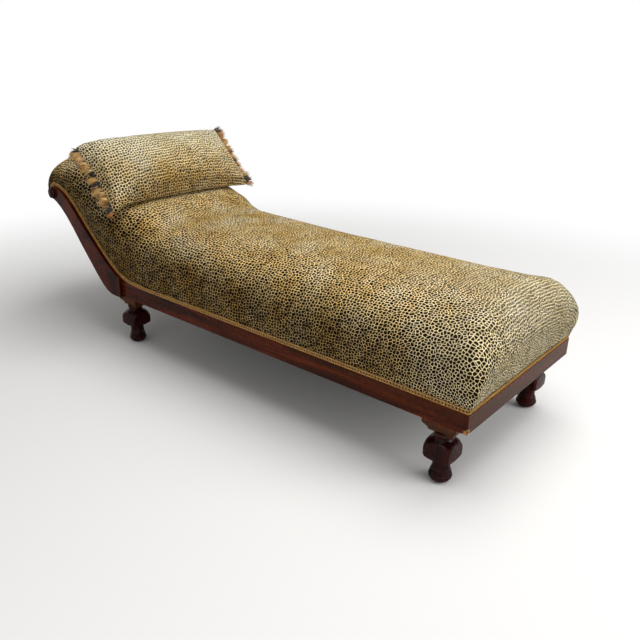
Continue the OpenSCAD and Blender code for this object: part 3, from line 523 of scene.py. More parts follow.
def mahogany(name, stretch, dark, middle_tone, light, gloss):
    # French-polished mahogany: a clear coat with soft-edged reflections over a deep red-brown.
    mat, tree, shader = new_material(name, IOR=1.5, Coat_Weight=gloss, Coat_Roughness=0.09,
                                     Specular_IOR_Level=0.03)
    place = add(tree, "ShaderNodeTexCoord", out="Object")
    along_board = add(tree, "ShaderNodeVectorMath", {0: place, 1: stretch}, operation="MULTIPLY")
    # A small factor along the board draws its figure out that way, and across it the figure is 17 mm
    # wide. Real pores are 0.3 mm wide, too fine to show, so they are drawn 2.4 mm coarse.
    grain = {"Vector": along_board, "Scale": 60.0, "Detail": 5.0, "Distortion": 0.8}
    figure = add(tree, "ShaderNodeTexNoise", grain)
    pores = add(tree, "ShaderNodeTexNoise", {"Vector": along_board, "Scale": 420.0, "Detail": 2.0})
    stops = [(0.3, dark), (0.5, middle_tone), (0.72, light)]
    colour = add(tree, "ShaderNodeValToRGB", {"Fac": figure}, stops=stops)
    pore_span = {"From Min": 0.56, "From Max": 0.68, "To Max": 0.55}
    pore_mask = add(tree, "ShaderNodeMapRange", {"Value": pores, **pore_span})
    colour = add(tree, "ShaderNodeMix", {0: pore_mask, 6: colour, 7: dark}, **COLOURS)
    # Polish has darkened with age in clouds about 200 mm wide.
    cloud = add(tree, "ShaderNodeTexNoise", {"Vector": place, "Scale": 5.0, "Detail": 2.0})
    ageing = {"From Min": 0.35, "From Max": 0.75, "To Max": 0.45}
    aged = add(tree, "ShaderNodeMapRange", {"Value": cloud, **ageing})
    colour = add(tree, "ShaderNodeMix", {0: aged, 6: colour, 7: dark}, **COLOURS)
    # Hands and feet have rubbed the edges, in patches about 11 mm wide.
    edge = add(tree, "ShaderNodeNewGeometry", out="Pointiness")
    worn = add(tree, "ShaderNodeMapRange", {"Value": edge, "From Min": 0.53, "From Max": 0.62, "To Max": 0.6})
    rub = add(tree, "ShaderNodeTexNoise", {"Vector": place, "Scale": 90.0, "Detail": 3.0})
    worn = add(tree, "ShaderNodeMath", {0: worn, 1: rub}, operation="MULTIPLY")
    colour = add(tree, "ShaderNodeMix", {0: worn, 6: colour, 7: RUBBED_WOOD}, **COLOURS)
    # Chips 6 mm wide crowd at the knocked corner and thin out within a thumb's width.
    knock = add(tree, "ShaderNodeVectorMath", {0: place, 1: KNOCKED_CORNER}, out="Value",
                operation="DISTANCE")
    fading = {"From Min": CHIPPED_TO, "From Max": CHIPS_END, "To Min": 0.75, "To Max": 0.0}
    knock = add(tree, "ShaderNodeMapRange", {"Value": knock, **fading})
    chips = add(tree, "ShaderNodeTexNoise", {"Vector": place, "Scale": 160.0, "Detail": 4.0})
    chips = add(tree, "ShaderNodeMath", {0: chips, 1: knock}, operation="MULTIPLY")
    chips = add(tree, "ShaderNodeMapRange", {"Value": chips, "From Min": 0.24, "From Max": 0.34})
    colour = add(tree, "ShaderNodeMix", {0: chips, 6: colour, 7: BARE_WOOD}, **COLOURS)
    dulling = {"From Min": 0.3, "From Max": 0.8, "To Min": 0.2, "To Max": 0.4}
    dull = add(tree, "ShaderNodeMapRange", {"Value": rub, **dulling})
    finish_material(tree, shader, colour, pores, 0.08, 0.2 * MM, dull)
    return mat


RAIL_TONES = ("#160401", "#401104", "#6b240a")
# Painted shade: the foot rail's copy of the mahogany has darker tones than the side rails'.
SHADED_CROSS_TONES = ("#0f0301", "#2b0a03", "#4a1907")
TURNED_TONES = ("#0e0302", "#290805", "#3f100a")
rail_x = mahogany("french_polished_mahogany_rails", (0.06, 1.0, 1.0), *RAIL_TONES, 0.08)
rail_y = mahogany("french_polished_mahogany_cross_shaded", (1.0, 0.06, 1.0), *SHADED_CROSS_TONES, 0.08)
sloping = mahogany("french_polished_mahogany_uprights", (0.25, 1.0, 0.2), *RAIL_TONES, 0.08)
turned = mahogany("dark_polished_turned_mahogany", (1.0, 1.0, 0.12), *TURNED_TONES, 0.12)
print("knocked corner at", [round(v, 3) for v in KNOCKED_CORNER])

# %% [markdown]
# Sawn edges catch light only because a craftsman takes the corner off. Each wooden part is a copy of
# its model solid, its loose triangles merged, with a small round on its sharp edges, and smooth
# shading everywhere else, so that turned work looks round.

# %% Wooden parts with soft edges
RAIL_EDGE, PLINTH_EDGE, ROUNDEL_EDGE, LEG_EDGE = 1.6 * MM, 1.0 * MM, 0.5 * MM, 0.4 * MM


def merged_copy(node):
    mesh, work = frame["nodes"][node].data.copy(), bmesh.new()
    work.from_mesh(mesh)
    bmesh.ops.remove_doubles(work, verts=work.verts, dist=0.01 * MM)
    return mesh, work


def softened(node, material, slot_name, width, segments=2):
    mesh, work = merged_copy(node)
    bmesh.ops.dissolve_limit(work, angle_limit=math.radians(0.5), verts=work.verts, edges=work.edges)
    bmesh.ops.recalc_face_normals(work, faces=work.faces)
    work.to_mesh(mesh)
    work.free()
    piece = new_piece(node + "_wood", mesh, material, "couch", slot_name, node)
    shade(mesh)
    mesh.set_sharp_from_angle(angle=math.radians(32))
    edges = piece.modifiers.new("eased_edges", "BEVEL")
    edges.width, edges.segments, edges.harden_normals = width, segments, True
    edges.limit_method, edges.angle_limit = "ANGLE", math.radians(38)
    return piece


for side in ("near", "far"):
    softened("side_rail_" + side, rail_x, "polished_mahogany", RAIL_EDGE, 3)
    softened("head_upright_" + side, sloping, "polished_mahogany", RAIL_EDGE, 3)
    softened("roundel_" + side, turned, "turned_mahogany", ROUNDEL_EDGE)
    for end in ("foot", "head"):
        softened(f"plinth_{end}_{side}", turned, "turned_mahogany", PLINTH_EDGE)
        softened(f"leg_{end}_{side}", turned, "turned_mahogany", LEG_EDGE)
softened("foot_rail", rail_y, "polished_mahogany", RAIL_EDGE, 3)

# %% [markdown]
# Under the cover there is an upholsterer's whole construction: beech rails and blocks, jute webbing,
# coppered wire springs tied down with cord, and hessian. None of it shows from outside, but each
# part is really there, so each gets the finish of its own stuff at its own scale.

# %% Hidden construction
def plain_wood(name, dark, light):
    # Planed beech, bare or stained: matt, even wood with short flecks about 3 mm across the grain.
    mat, tree, shader = new_material(name, Roughness=0.6)
    place = add(tree, "ShaderNodeTexCoord", out="Object")
    fibres = add(tree, "ShaderNodeVectorMath", {0: place, 1: (1.0, 0.08, 1.0)}, operation="MULTIPLY")
    flecks = add(tree, "ShaderNodeTexNoise", {"Vector": fibres, "Scale": 300.0, "Detail": 3.0})
    colour = add(tree, "ShaderNodeValToRGB", {"Fac": flecks}, stops=[(0.35, dark), (0.6, light)])
    finish_material(tree, shader, colour, flecks, 0.2, 0.2 * MM)
    return mat


def woven(name, thread, dark, light):
    # Plain-woven bast fibre: matt threads that cross, uneven in colour where the yarn has slubs. A
    # wave's bands lie 0.314 / Scale apart, which is here about two thirds of a thread.
    mat, tree, shader = new_material(name, Roughness=0.9)
    place = add(tree, "ShaderNodeTexCoord", out="Object")
    threads = {"Vector": place, "Scale": 0.5 / thread, "Distortion": 0.6}
    warp = add(tree, "ShaderNodeTexWave", threads, out="Fac", bands_direction="X")
    weft = add(tree, "ShaderNodeTexWave", threads, out="Fac", bands_direction="Y")
    weave = add(tree, "ShaderNodeMath", {0: warp, 1: weft}, operation="MULTIPLY")
    slub = add(tree, "ShaderNodeTexNoise", {"Vector": place, "Scale": 60.0, "Detail": 3.0})
    height = add(tree, "ShaderNodeMath", {0: weave, 1: 0.7, 2: slub}, operation="MULTIPLY_ADD")
    colour = add(tree, "ShaderNodeValToRGB", {"Fac": height}, stops=[(0.35, dark), (1.1 / 1.4, light)])
    finish_material(tree, shader, colour, weave, 0.5, thread / 2)
    return mat


def wire(name, dark, light):
    # Drawn metal: full reflections, dulled in faint patches about 5 mm wide by handling and age.
    mat, tree, shader = new_material(name, Metallic=1.0)
    place = add(tree, "ShaderNodeTexCoord", out="Object")
    drawn = add(tree, "ShaderNodeTexNoise", {"Vector": place, "Scale": 220.0, "Detail": 3.0})
    colour = add(tree, "ShaderNodeValToRGB", {"Fac": drawn}, stops=[(0.35, dark), (0.65, light)])
    dull = add(tree, "ShaderNodeMapRange", {"Value": drawn, "To Min": 0.25, "To Max": 0.55})
    finish_material(tree, shader, colour, drawn, 0.1, 0.1 * MM, dull)
    return mat


beech = plain_wood("planed_beech", "#b08a5c", "#c9a878")
stained_beech = plain_wood("stained_beech", "#3a1a0c", "#5a2c16")
steel = wire("satin_steel_screws", "#7d7f80", "#a7a9aa")
spring = wire("coppered_spring_wire", "#6b4a34", "#9a6f50")
jute = woven("woven_jute_webbing", 2.0 * MM, "#7d6440", "#b39a68")
hessian = woven("open_weave_hessian", 1.4 * MM, "#6f5938", "#a68a5c")
hemp = woven("laid_hemp_cord", 1.0 * MM, "#8b7447", "#c1a976")
hidden = {"head_cross_rail": stained_beech, "head_top_rail": beech, "corner_block_screws": steel,
          "webbing_across": jute, "webbing_along": jute, "head_webbing": jute,
          "seat_springs": spring, "spring_lashing": hemp, "spring_hessian": hessian}
hidden.update({f"corner_block_{end}_{side}": beech for end in ("foot", "head") for side in ("near", "far")})
for node, material in hidden.items():
    for slot in frame["nodes"][node].material_slots:
        slot.material = material
print("hidden nodes finished", len(hidden))

# %% [markdown]
# The outside back is a flat panel of the same velvet, stretched over the back of the head, and a
# black cambric dust cover is tacked under the seat. Both are thin stretched sheets. The model's
# thin solids already have their form, so merged copies get a UV map in metres for the cloth.

# %% Outside back and dust cover
# Cotton cambric, dyed black and closely woven: dark and matt, with a faint grid of threads.
cambric, tree, shader = new_material("black_cambric", Roughness=0.92)
uv = add(tree, "ShaderNodeUVMap", uv_map="cloth")
# Real threads are 0.3 mm apart, too fine to show, so their bands are drawn 1 mm apart.
thread = {"Vector": uv, "Scale": 0.5 / (1.6 * MM), "Distortion": 0.4}
warp = add(tree, "ShaderNodeTexWave", thread, out="Fac", bands_direction="X")
weft = add(tree, "ShaderNodeTexWave", thread, out="Fac", bands_direction="Y")
weave = add(tree, "ShaderNodeMath", {0: warp, 1: weft}, operation="MULTIPLY")
colour = add(tree, "ShaderNodeValToRGB", {"Fac": weave}, stops=[(0.0, "#0c0c0d"), (1.0, "#232325")])
finish_material(tree, shader, colour, weave, 0.4, 0.3 * MM)


def stretched(node, name, material, slot_name):
    mesh, work = merged_copy(node)
    line = sorted({(round(v.co.x, 5), round(v.co.z, 5)) for v in work.verts}, key=lambda p: p[1] * 2 + p[0])
    cloth = work.loops.layers.uv.new("cloth")
    tilt = Vector((line[-1][0] - line[0][0], 0, line[-1][1] - line[0][1])).normalized()
    for face in work.faces:
        for loop in face.loops:
            loop[cloth].uv = (loop.vert.co.dot(tilt), loop.vert.co.y)
    work.to_mesh(mesh)
    work.free()
    piece = new_piece(name, mesh, material, "couch", slot_name, node)
    shade(mesh)
    mesh.set_sharp_from_angle(angle=math.radians(40))
    reach = [v.co.dot(tilt) for v in mesh.vertices]
    low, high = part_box(node)
    return piece, (max(reach) - min(reach), high.y - low.y), sum(p.area for p in mesh.polygons) / 2


back, size, back_area = stretched("outside_back", "outside_back_velvet", velvet, "printed_velvet")
print("back panel", [round(v, 3) for v in size], "area", round(back_area, 3))
dust, size, dust_area = stretched("dust_cover", "dust_cover_cambric", cambric, "black_cambric")
print("dust cover", [round(v, 3) for v in size], "area", round(dust_area, 3))

# %% [markdown]
# The pillow is one closed case of the same velvet with a soft filling. Its outline and height are
# read from the model by dropping rays on it in the pillow's own frame: down the slope of the head,
# along the pillow, and straight off the cloth, which is also the way in which it lifts. The end near
# the camera has gone soft and sags onto the seat in the photograph, so it goes down by 24 mm.

# %% Pillow frame and heights
DROOP = 8 * MM
NEAR_SAG, SAG_FROM, SAG_OVER = 24 * MM, 0.36, 0.14

lift = Vector(frame["joints"][0]["axis"])
down_slope = Vector((lift.z, 0.0, -lift.x))
shell, _ = merged_points("pillow_cover_top")
lengths, rises = shell @ np.array(down_slope), shell @ np.array(lift)
PILLOW_LONG, PILLOW_WIDE = float(np.ptp(shell[:, 1])), float(np.ptp(lengths))
CENTRE = down_slope * ((lengths.min() + lengths.max()) / 2) + lift * (rises.min() + DROOP)
CENTRE.y = (shell[:, 1].min() + shell[:, 1].max()) / 2
depsgraph = bpy.context.evaluated_depsgraph_get()
panels = {1: "pillow_cover_top", -1: "pillow_cover_under"}
trees = {face: BVHTree.FromObject(frame["nodes"][node], depsgraph) for face, node in panels.items()}


def to_world(x, y, h):
    return CENTRE + down_slope * x + Vector((0, y, 0)) + lift * h


def pillow_height(x, y, face):
    ray = trees[face].ray_cast(to_world(x, y, face * 0.3), lift * -face)
    return None if ray[0] is None else (ray[0] - CENTRE).dot(lift)


def sagged(points, y):
    sag = NEAR_SAG * np.clip((-y / PILLOW_LONG - SAG_FROM) / SAG_OVER, 0, 1) ** 2
    points[:, 2] -= sag
    points[:, 1] -= 0.3 * sag
    return points


print("pillow", round(PILLOW_LONG, 3), "by", round(PILLOW_WIDE, 3), "m")

# %% [markdown]
# A sewn case draws in along its sides and keeps its corners, which are a little round. The two faces
# start as one closed grid, a hundredth too small, because the air that fills it will make it grow.

# %% Pillow case before it is filled
LONG_STEPS, WIDE_STEPS = 72, 36
CORNER_ROUND, SIDE_DRAW, END_DRAW = 0.03, 0.075, 0.035
STARTING_SIZE, RAY_SIZE = 0.99, 0.997


def outline(u, v):
    corner = 1 - CORNER_ROUND * (u * v) ** 8
    x = PILLOW_WIDE / 2 * v * (1 - SIDE_DRAW * (1 - u ** 4)) * corner
    return x, PILLOW_LONG / 2 * u * (1 - END_DRAW * (1 - v * v)) * corner


def facing_out(mesh):
    work = bmesh.new()
    work.from_mesh(mesh)
    bmesh.ops.recalc_face_normals(work, faces=work.faces)
    work.to_mesh(mesh)
    work.free()


verts, top_ids, low_ids = [], {}, {}
for i in range(LONG_STEPS + 1):
    for j in range(WIDE_STEPS + 1):
        u, v = math.cos(math.pi * i / LONG_STEPS), math.cos(math.pi * j / WIDE_STEPS)
        x, y = outline(u, v)
        high, low = (pillow_height(x * RAY_SIZE, y * RAY_SIZE, face) for face in (1, -1))
        high = -DROOP if high is None else high
        low = high if low is None else low
        x, y = x * STARTING_SIZE, y * STARTING_SIZE
        top_ids[i, j] = low_ids[i, j] = len(verts)
        if i in (0, LONG_STEPS) or j in (0, WIDE_STEPS):
            verts.append(to_world(x, y, -DROOP * u * u))
            continue
        verts.append(to_world(x, y, high - 2 * MM))
        low_ids[i, j] = len(verts)
        verts.append(to_world(x, y, min(low + 1 * MM, high - 4 * MM)))
cells = []
for ids, turn in ((top_ids, 1), (low_ids, -1)):
    for i in range(LONG_STEPS):
        for j in range(WIDE_STEPS):
            cell = [ids[i, j], ids[i + 1, j], ids[i + 1, j + 1], ids[i, j + 1]]
            cells.append(cell[::turn])
case_mesh = bpy.data.meshes.new("pillow_case")
case_mesh.from_pydata(verts, [], cells)
facing_out(case_mesh)
heights = [v.z for v in verts]
print("pillow start", len(verts), "points, from z", round(min(heights), 3), "to", round(max(heights), 3))

# %% [markdown]
# A cloth simulation with a little air pressure swells the case, and the fabric gathers near its
# seams as real cases do. No point may move more than 9 mm, and none goes below the face that lies on
# the couch, so the pillow stays in the room that the model gives it. Only then does its end sag.

# %% Swell the pillow
VOXEL, CAP, LEAST_GAP = 5 * MM, 9 * MM, 0.2 * MM
AIR, FRAMES = 4, 20


def evaluated(piece):
    return piece.evaluated_get(bpy.context.evaluated_depsgraph_get())


def points_of(mesh):
    co = np.empty(len(mesh.vertices) * 3)
    mesh.vertices.foreach_get("co", co)
    return co.reshape(-1, 3)


swollen = linked("pillow_form", case_mesh)
remesh = swollen.modifiers.new("even_mesh", "REMESH")
remesh.mode, remesh.voxel_size = "VOXEL", VOXEL
even = bpy.data.meshes.new_from_object(evaluated(swollen))
swollen.modifiers.clear()
swollen.data = even
before = points_of(even)
after = before.copy()
cloth = swollen.modifiers.new("pressure", "CLOTH")
cloth.settings.use_pressure = True
cloth.settings.uniform_pressure_force = AIR
cloth.settings.effector_weights.gravity = 0
cloth.settings.tension_stiffness = 12
cloth.settings.bending_stiffness = 0.3
cloth.point_cache.frame_start, cloth.point_cache.frame_end = 1, FRAMES
for number in range(1, FRAMES + 1):
    bpy.context.scene.frame_set(number)
after = points_of(evaluated(swollen).to_mesh())
swollen.modifiers.clear()
bpy.context.scene.frame_set(1)
bpy.data.objects.remove(swollen)
step = after - before
reach = np.linalg.norm(step, axis=1, keepdims=True)
after = before + step * np.minimum(1, CAP / np.maximum(reach, 1e-9))
local = after - np.array(CENTRE)
heights, slopes = local @ np.array(lift), local @ np.array(down_slope)
couch_face = [pillow_height(float(x), float(y), -1) for x, y in zip(slopes, local[:, 1])]
resting = np.array([h if f is None else max(h, f + LEAST_GAP) for h, f in zip(heights, couch_face)])
after = sagged(after + (resting - heights)[:, None] * np.array(lift), local[:, 1])
even.vertices.foreach_set("co", after.ravel())
print("greatest move", round(float(reach.max()) / MM, 1), "mm before the cap")

# %% [markdown]
# The case is sewn from a top and an under panel, so it is cut apart at that seam and each panel is
# unwrapped by itself, as a cutter would lay it out. A point of flat cloth is held as one complex
# number, because a turn is then a product: the panel is turned along the pillow, and the ratio of
# its real area to its flat area scales it, so that its print is as large as the seat's.

# %% Cut and dress the pillow
def cut_out(mesh, under):
    mesh.uv_layers.new(name="cloth")
    work = bmesh.new()
    work.from_mesh(mesh)
    for edge in work.edges:
        edge.seam = len({bool(under[f.index]) for f in edge.link_faces}) > 1
    work.to_mesh(mesh)
    work.free()
    return unwrapped(linked("pillow_cutting", mesh), 10).view(complex).copy()


middles = np.array([p.center[:] for p in even.polygons]) - np.array(CENTRE)
near_far = middles[:, 1] / (PILLOW_LONG / 2)
seam_height = -DROOP * near_far ** 2 - NEAR_SAG * np.clip(-near_far, 0, 1) ** 8
under = middles @ np.array(lift) < seam_height
flat = cut_out(even, under)
vertex_of = loop_vertices(even)
face_of = np.repeat(np.arange(len(even.polygons)), [p.loop_total for p in even.polygons])
for chosen, side in ((~under, 1), (under, -1)):
    pick = chosen[face_of]
    laid = slopes[vertex_of[pick]] + side * 1j * local[vertex_of[pick], 1]
    panel = flat[pick] - flat[pick].mean()
    corner = flat[pick].reshape(-1, 4)
    diagonals = np.conj(corner[:, 2] - corner[:, 0]) * (corner[:, 3] - corner[:, 1])
    cut_area = 0.5 * abs(np.sum(diagonals.imag))
    real_area = sum(p.area for p, c in zip(even.polygons, chosen) if c)
    turned_by = np.vdot(panel, laid - laid.mean())
    flat[pick] = panel * turned_by / abs(turned_by) * math.sqrt(real_area / cut_area) + (side < 0)
    print("pillow panel", int(chosen.sum()), "cells, cut from", round(real_area, 3), "square metres")
even.uv_layers["cloth"].data.foreach_set("uv", flat.view(float))
shade(even)
pillow = new_piece("pillow_velvet", even, pillow_cloth, "pillow", "printed_velvet",
                   "pillow_pad", "pillow_cover_top", "pillow_cover_under")
finer = pillow.modifiers.new("finer", "SUBSURF")
finer.levels = finer.render_levels = 1
print("pillow", len(even.polygons), "faces")

# %% [markdown]
# Braid and fringe are the same small thing again and again, which Geometry Nodes make well. One
# function builds a tree from a recipe, gives it its sizes as named inputs, set by their identifiers,
# ends it in real geometry with its material, and hands the result back as a plain mesh.

# %% A Geometry Nodes run and its result as a plain mesh
RANDOM_VECTOR = {"data_type": "FLOAT_VECTOR"}


def node_mesh(name, build, sizes, material):
    tree = bpy.data.node_groups.new(name, "GeometryNodeTree")
    tree.interface.new_socket("Geometry", in_out="INPUT", socket_type="NodeSocketGeometry")
    tree.interface.new_socket("Geometry", in_out="OUTPUT", socket_type="NodeSocketGeometry")
    named = {}
    for key, value in sizes.items():
        kind = "NodeSocketInt" if isinstance(value, int) else "NodeSocketFloat"
        named[key] = tree.interface.new_socket(key, in_out="INPUT", socket_type=kind).identifier
    inputs = add(tree, "NodeGroupInput").node.outputs
    shaped = build(tree, inputs)
    plain = add(tree, "GeometryNodeRealizeInstances", {"Geometry": shaped})
    dressed = add(tree, "GeometryNodeSetMaterial", {"Geometry": plain, "Material": material})
    add(tree, "NodeGroupOutput", {"Geometry": dressed})
    holder = linked(name, bpy.data.meshes.new(name))
    modifier = holder.modifiers.new(name, "NODES")
    modifier.node_group = tree
    for key, value in sizes.items():
        modifier[named[key]] = value
    mesh = bpy.data.meshes.new_from_object(evaluated(holder))
    bpy.data.objects.remove(holder)
    print(name, "from a tree of", len(tree.nodes), "nodes")
    return mesh


# %% [markdown]
# Gimp is the narrow braid that hides the tacks where velvet meets wood: two gold cords side by side
# with small cross loops between them and dark gaps. It is woven here flat and straight, because its
# parts are simple that way, and bent to the seam afterwards.

# %% One straight length of gimp
def straight_braid(tree, given):
    run = add(tree, "ShaderNodeCombineXYZ", {"X": given["Length"]})
    line = add(tree, "GeometryNodeCurvePrimitiveLine", {"Start": (0, 0, 0), "End": run})
    stepped = {"Curve": line, "Length": given["Cord step"]}
    line = add(tree, "GeometryNodeResampleCurve", stepped, mode="LENGTH")
    # Two cords of three twisted strands, which stand on the tape at its edges.
    place = add(tree, "GeometryNodeSplineParameter", out="Length")
    twist = add(tree, "ShaderNodeMath", {0: place, 1: given["Twist"]}, operation="MULTIPLY")
    line = add(tree, "GeometryNodeSetCurveTilt", {"Curve": line, "Tilt": twist})
    strands = {"Points": 3, "Inner Radius": 0.9 * MM, "Outer Radius": 1.6 * MM}
    lobes = add(tree, "GeometryNodeCurveStar", strands)
    cord = add(tree, "GeometryNodeCurveToMesh", {"Curve": line, "Profile Curve": lobes})
    edge = add(tree, "ShaderNodeMath", {0: given["Width"], 1: 0.5, 2: -1.9 * MM}, operation="MULTIPLY_ADD")
    upper = add(tree, "ShaderNodeCombineXYZ", {"Y": 2.0 * MM, "Z": edge})
    lower = add(tree, "ShaderNodeVectorMath", {0: upper, 1: (1, 1, -1)}, operation="MULTIPLY")
    cords = [add(tree, "GeometryNodeTransform", {"Geometry": cord, "Translation": at})
             for at in (upper, lower)]
    # Loops that lean across from cord to cord.
    loop = {"Size": (3.4 * MM, 1.3 * MM, 8 * MM), "Vertices X": 2, "Vertices Y": 2, "Vertices Z": 3}
    loop = add(tree, "GeometryNodeMeshCube", loop)
    stations = {"Curve": line, "Length": given["Loop pitch"]}
    stations = add(tree, "GeometryNodeResampleCurve", stations, mode="LENGTH")
    leaning = {"Min": (-0.1, 0.25, -0.1), "Max": (0.1, 0.5, 0.1), "Seed": given["Seed"]}
    lean = add(tree, "FunctionNodeRandomValue", leaning, **RANDOM_VECTOR)
    crossing = {"Points": stations, "Instance": loop, "Rotation": lean}
    loops = add(tree, "GeometryNodeInstanceOnPoints", crossing)
    loops = add(tree, "GeometryNodeTransform", {"Geometry": loops, "Translation": (0, 1.2 * MM, 0)})
    # The tape that all of them are sewn to, near black: painted shade for the gaps in the braid.
    bulk = add(tree, "ShaderNodeCombineXYZ", {"X": given["Length"], "Y": 0.8 * MM, "Z": given["Width"]})
    tape = {"Size": bulk, "Vertices X": given["Tape cuts"], "Vertices Y": 2, "Vertices Z": 2}
    tape = add(tree, "GeometryNodeMeshCube", tape)
    half = add(tree, "ShaderNodeMath", {0: given["Length"], 1: 0.5}, operation="MULTIPLY")
    middle = add(tree, "ShaderNodeCombineXYZ", {"X": half, "Y": 0.4 * MM})
    tape = add(tree, "GeometryNodeTransform", {"Geometry": tape, "Translation": middle})
    join = tree.nodes.new("GeometryNodeJoinGeometry")
    marked = []
    for part, gold in ((tape, 0.0), (loops, 0.75), (cords[0], 1.0), (cords[1], 1.0)):
        mark = {"Geometry": part, "Name": "thread", "Value": gold}
        marked.append(add(tree, "GeometryNodeStoreNamedAttribute", mark))
    for part in reversed(marked):
        tree.links.new(part, join.inputs[0])
    return join.outputs[0]


# Silk gimp: lustrous gold yarn with flecks about 4 mm wide, on a near-black tape that is painted
# shade for the gaps in a braid.
gimp_mat, tree, shader = new_material("gold_silk_gimp", Roughness=0.45, Sheen_Weight=0.3,
                                      Sheen_Roughness=0.4, Sheen_Tint="#f2d38a")
thread = add(tree, "ShaderNodeAttribute", attribute_name="thread", out="Fac")
place = add(tree, "ShaderNodeTexCoord", out="Object")
fleck = add(tree, "ShaderNodeTexNoise", {"Vector": place, "Scale": 260.0, "Detail": 3.0})
yarn_tones = [(0.3, "#8a5f24"), (0.5, "#c08d3e"), (0.7, "#e6bd6c")]
gold = add(tree, "ShaderNodeValToRGB", {"Fac": fleck}, stops=yarn_tones)
colour = add(tree, "ShaderNodeMix", {0: thread, 6: "#0f0905", 7: gold}, **COLOURS)
finish_material(tree, shader, colour, fleck, 0.3, 0.3 * MM)
print("gimp tree and finish ready")

# %% [markdown]
# A straight length is bent by measuring how far along it each point lies, and moving the point to
# the same distance along the seam. Its height above the tape goes outward from the couch, and its
# height across the tape goes at right angles to the seam. The side seams follow the cover's own
# edges from the foot to the scroll.

# %% Lay the gimp along its seams
GIMP_WIDTH, CORD_STEP, LOOP_PITCH, TAPE_STEP = 13 * MM, 1.1 * MM, 9.4 * MM, 4 * MM
GIMP_RISE, GIMP_OUT = 7.2 * MM, 302.4 * MM
FOOT_POINTS, FOOT_HALF = 60, 0.302


def at_lengths(s, stations, line):
    return np.stack([np.interp(s, stations, line[:, k]) for k in range(3)], -1)


def lay_braid(name, line, outward, node):
    stations = run_lengths(line)
    length = float(stations[-1])
    sizes = {"Length": length, "Width": GIMP_WIDTH, "Cord step": CORD_STEP, "Twist": 700.0,
             "Loop pitch": LOOP_PITCH, "Tape cuts": int(length / TAPE_STEP), "Seed": 4}
    mesh = node_mesh(name, straight_braid, sizes, gimp_mat)
    co = points_of(mesh)
    s = np.clip(co[:, 0], 0, length)
    ahead = at_lengths(np.minimum(s + 2 * MM, length), stations, line)
    tangent = ahead - at_lengths(np.maximum(s - 2 * MM, 0), stations, line)
    tangent /= np.linalg.norm(tangent, axis=1, keepdims=True)
    rising = np.cross(outward, tangent)
    rising *= np.sign(rising[len(rising) // 3, 2])
    placed = at_lengths(s, stations, line) + np.array(outward) * co[:, [1]] + rising * co[:, [2]]
    mesh.vertices.foreach_set("co", placed.ravel())
    shade(mesh, smooth=False)
    facing_out(mesh)
    new_piece(name, mesh, gimp_mat, "couch", "gold_gimp", node)
    print(name, len(mesh.polygons), "faces", round(length, 3), "m")


def seam_line(side):
    seam = refine(grid[:, 0 if side < 0 else -1], 6)
    step = np.gradient(seam, axis=0)
    off_seam = np.stack([-step[:, 2], np.zeros(len(step)), step[:, 0]], -1)
    off_seam /= np.maximum(np.linalg.norm(off_seam, axis=1, keepdims=True), 1e-9)
    off_seam *= np.sign(off_seam[len(step) // 4, 2])
    centre = seam + off_seam * GIMP_RISE
    centre[:, 1] = side * GIMP_OUT
    return centre


for side, label in ((-1, "near"), (1, "far")):
    lay_braid("gimp_braid_" + label, seam_line(side), (0.0, side, 0.0), "gimp_" + label)
foot_y = np.linspace(-FOOT_HALF, FOOT_HALF, FOOT_POINTS)
foot_x, foot_z = np.full(FOOT_POINTS, seam_x + 0.6 * MM), np.full(FOOT_POINTS, rail_top + GIMP_RISE)
lay_braid("gimp_braid_foot", np.stack([foot_x, foot_y, foot_z], -1), (0.97, 0.0, -0.25), "gimp_foot")
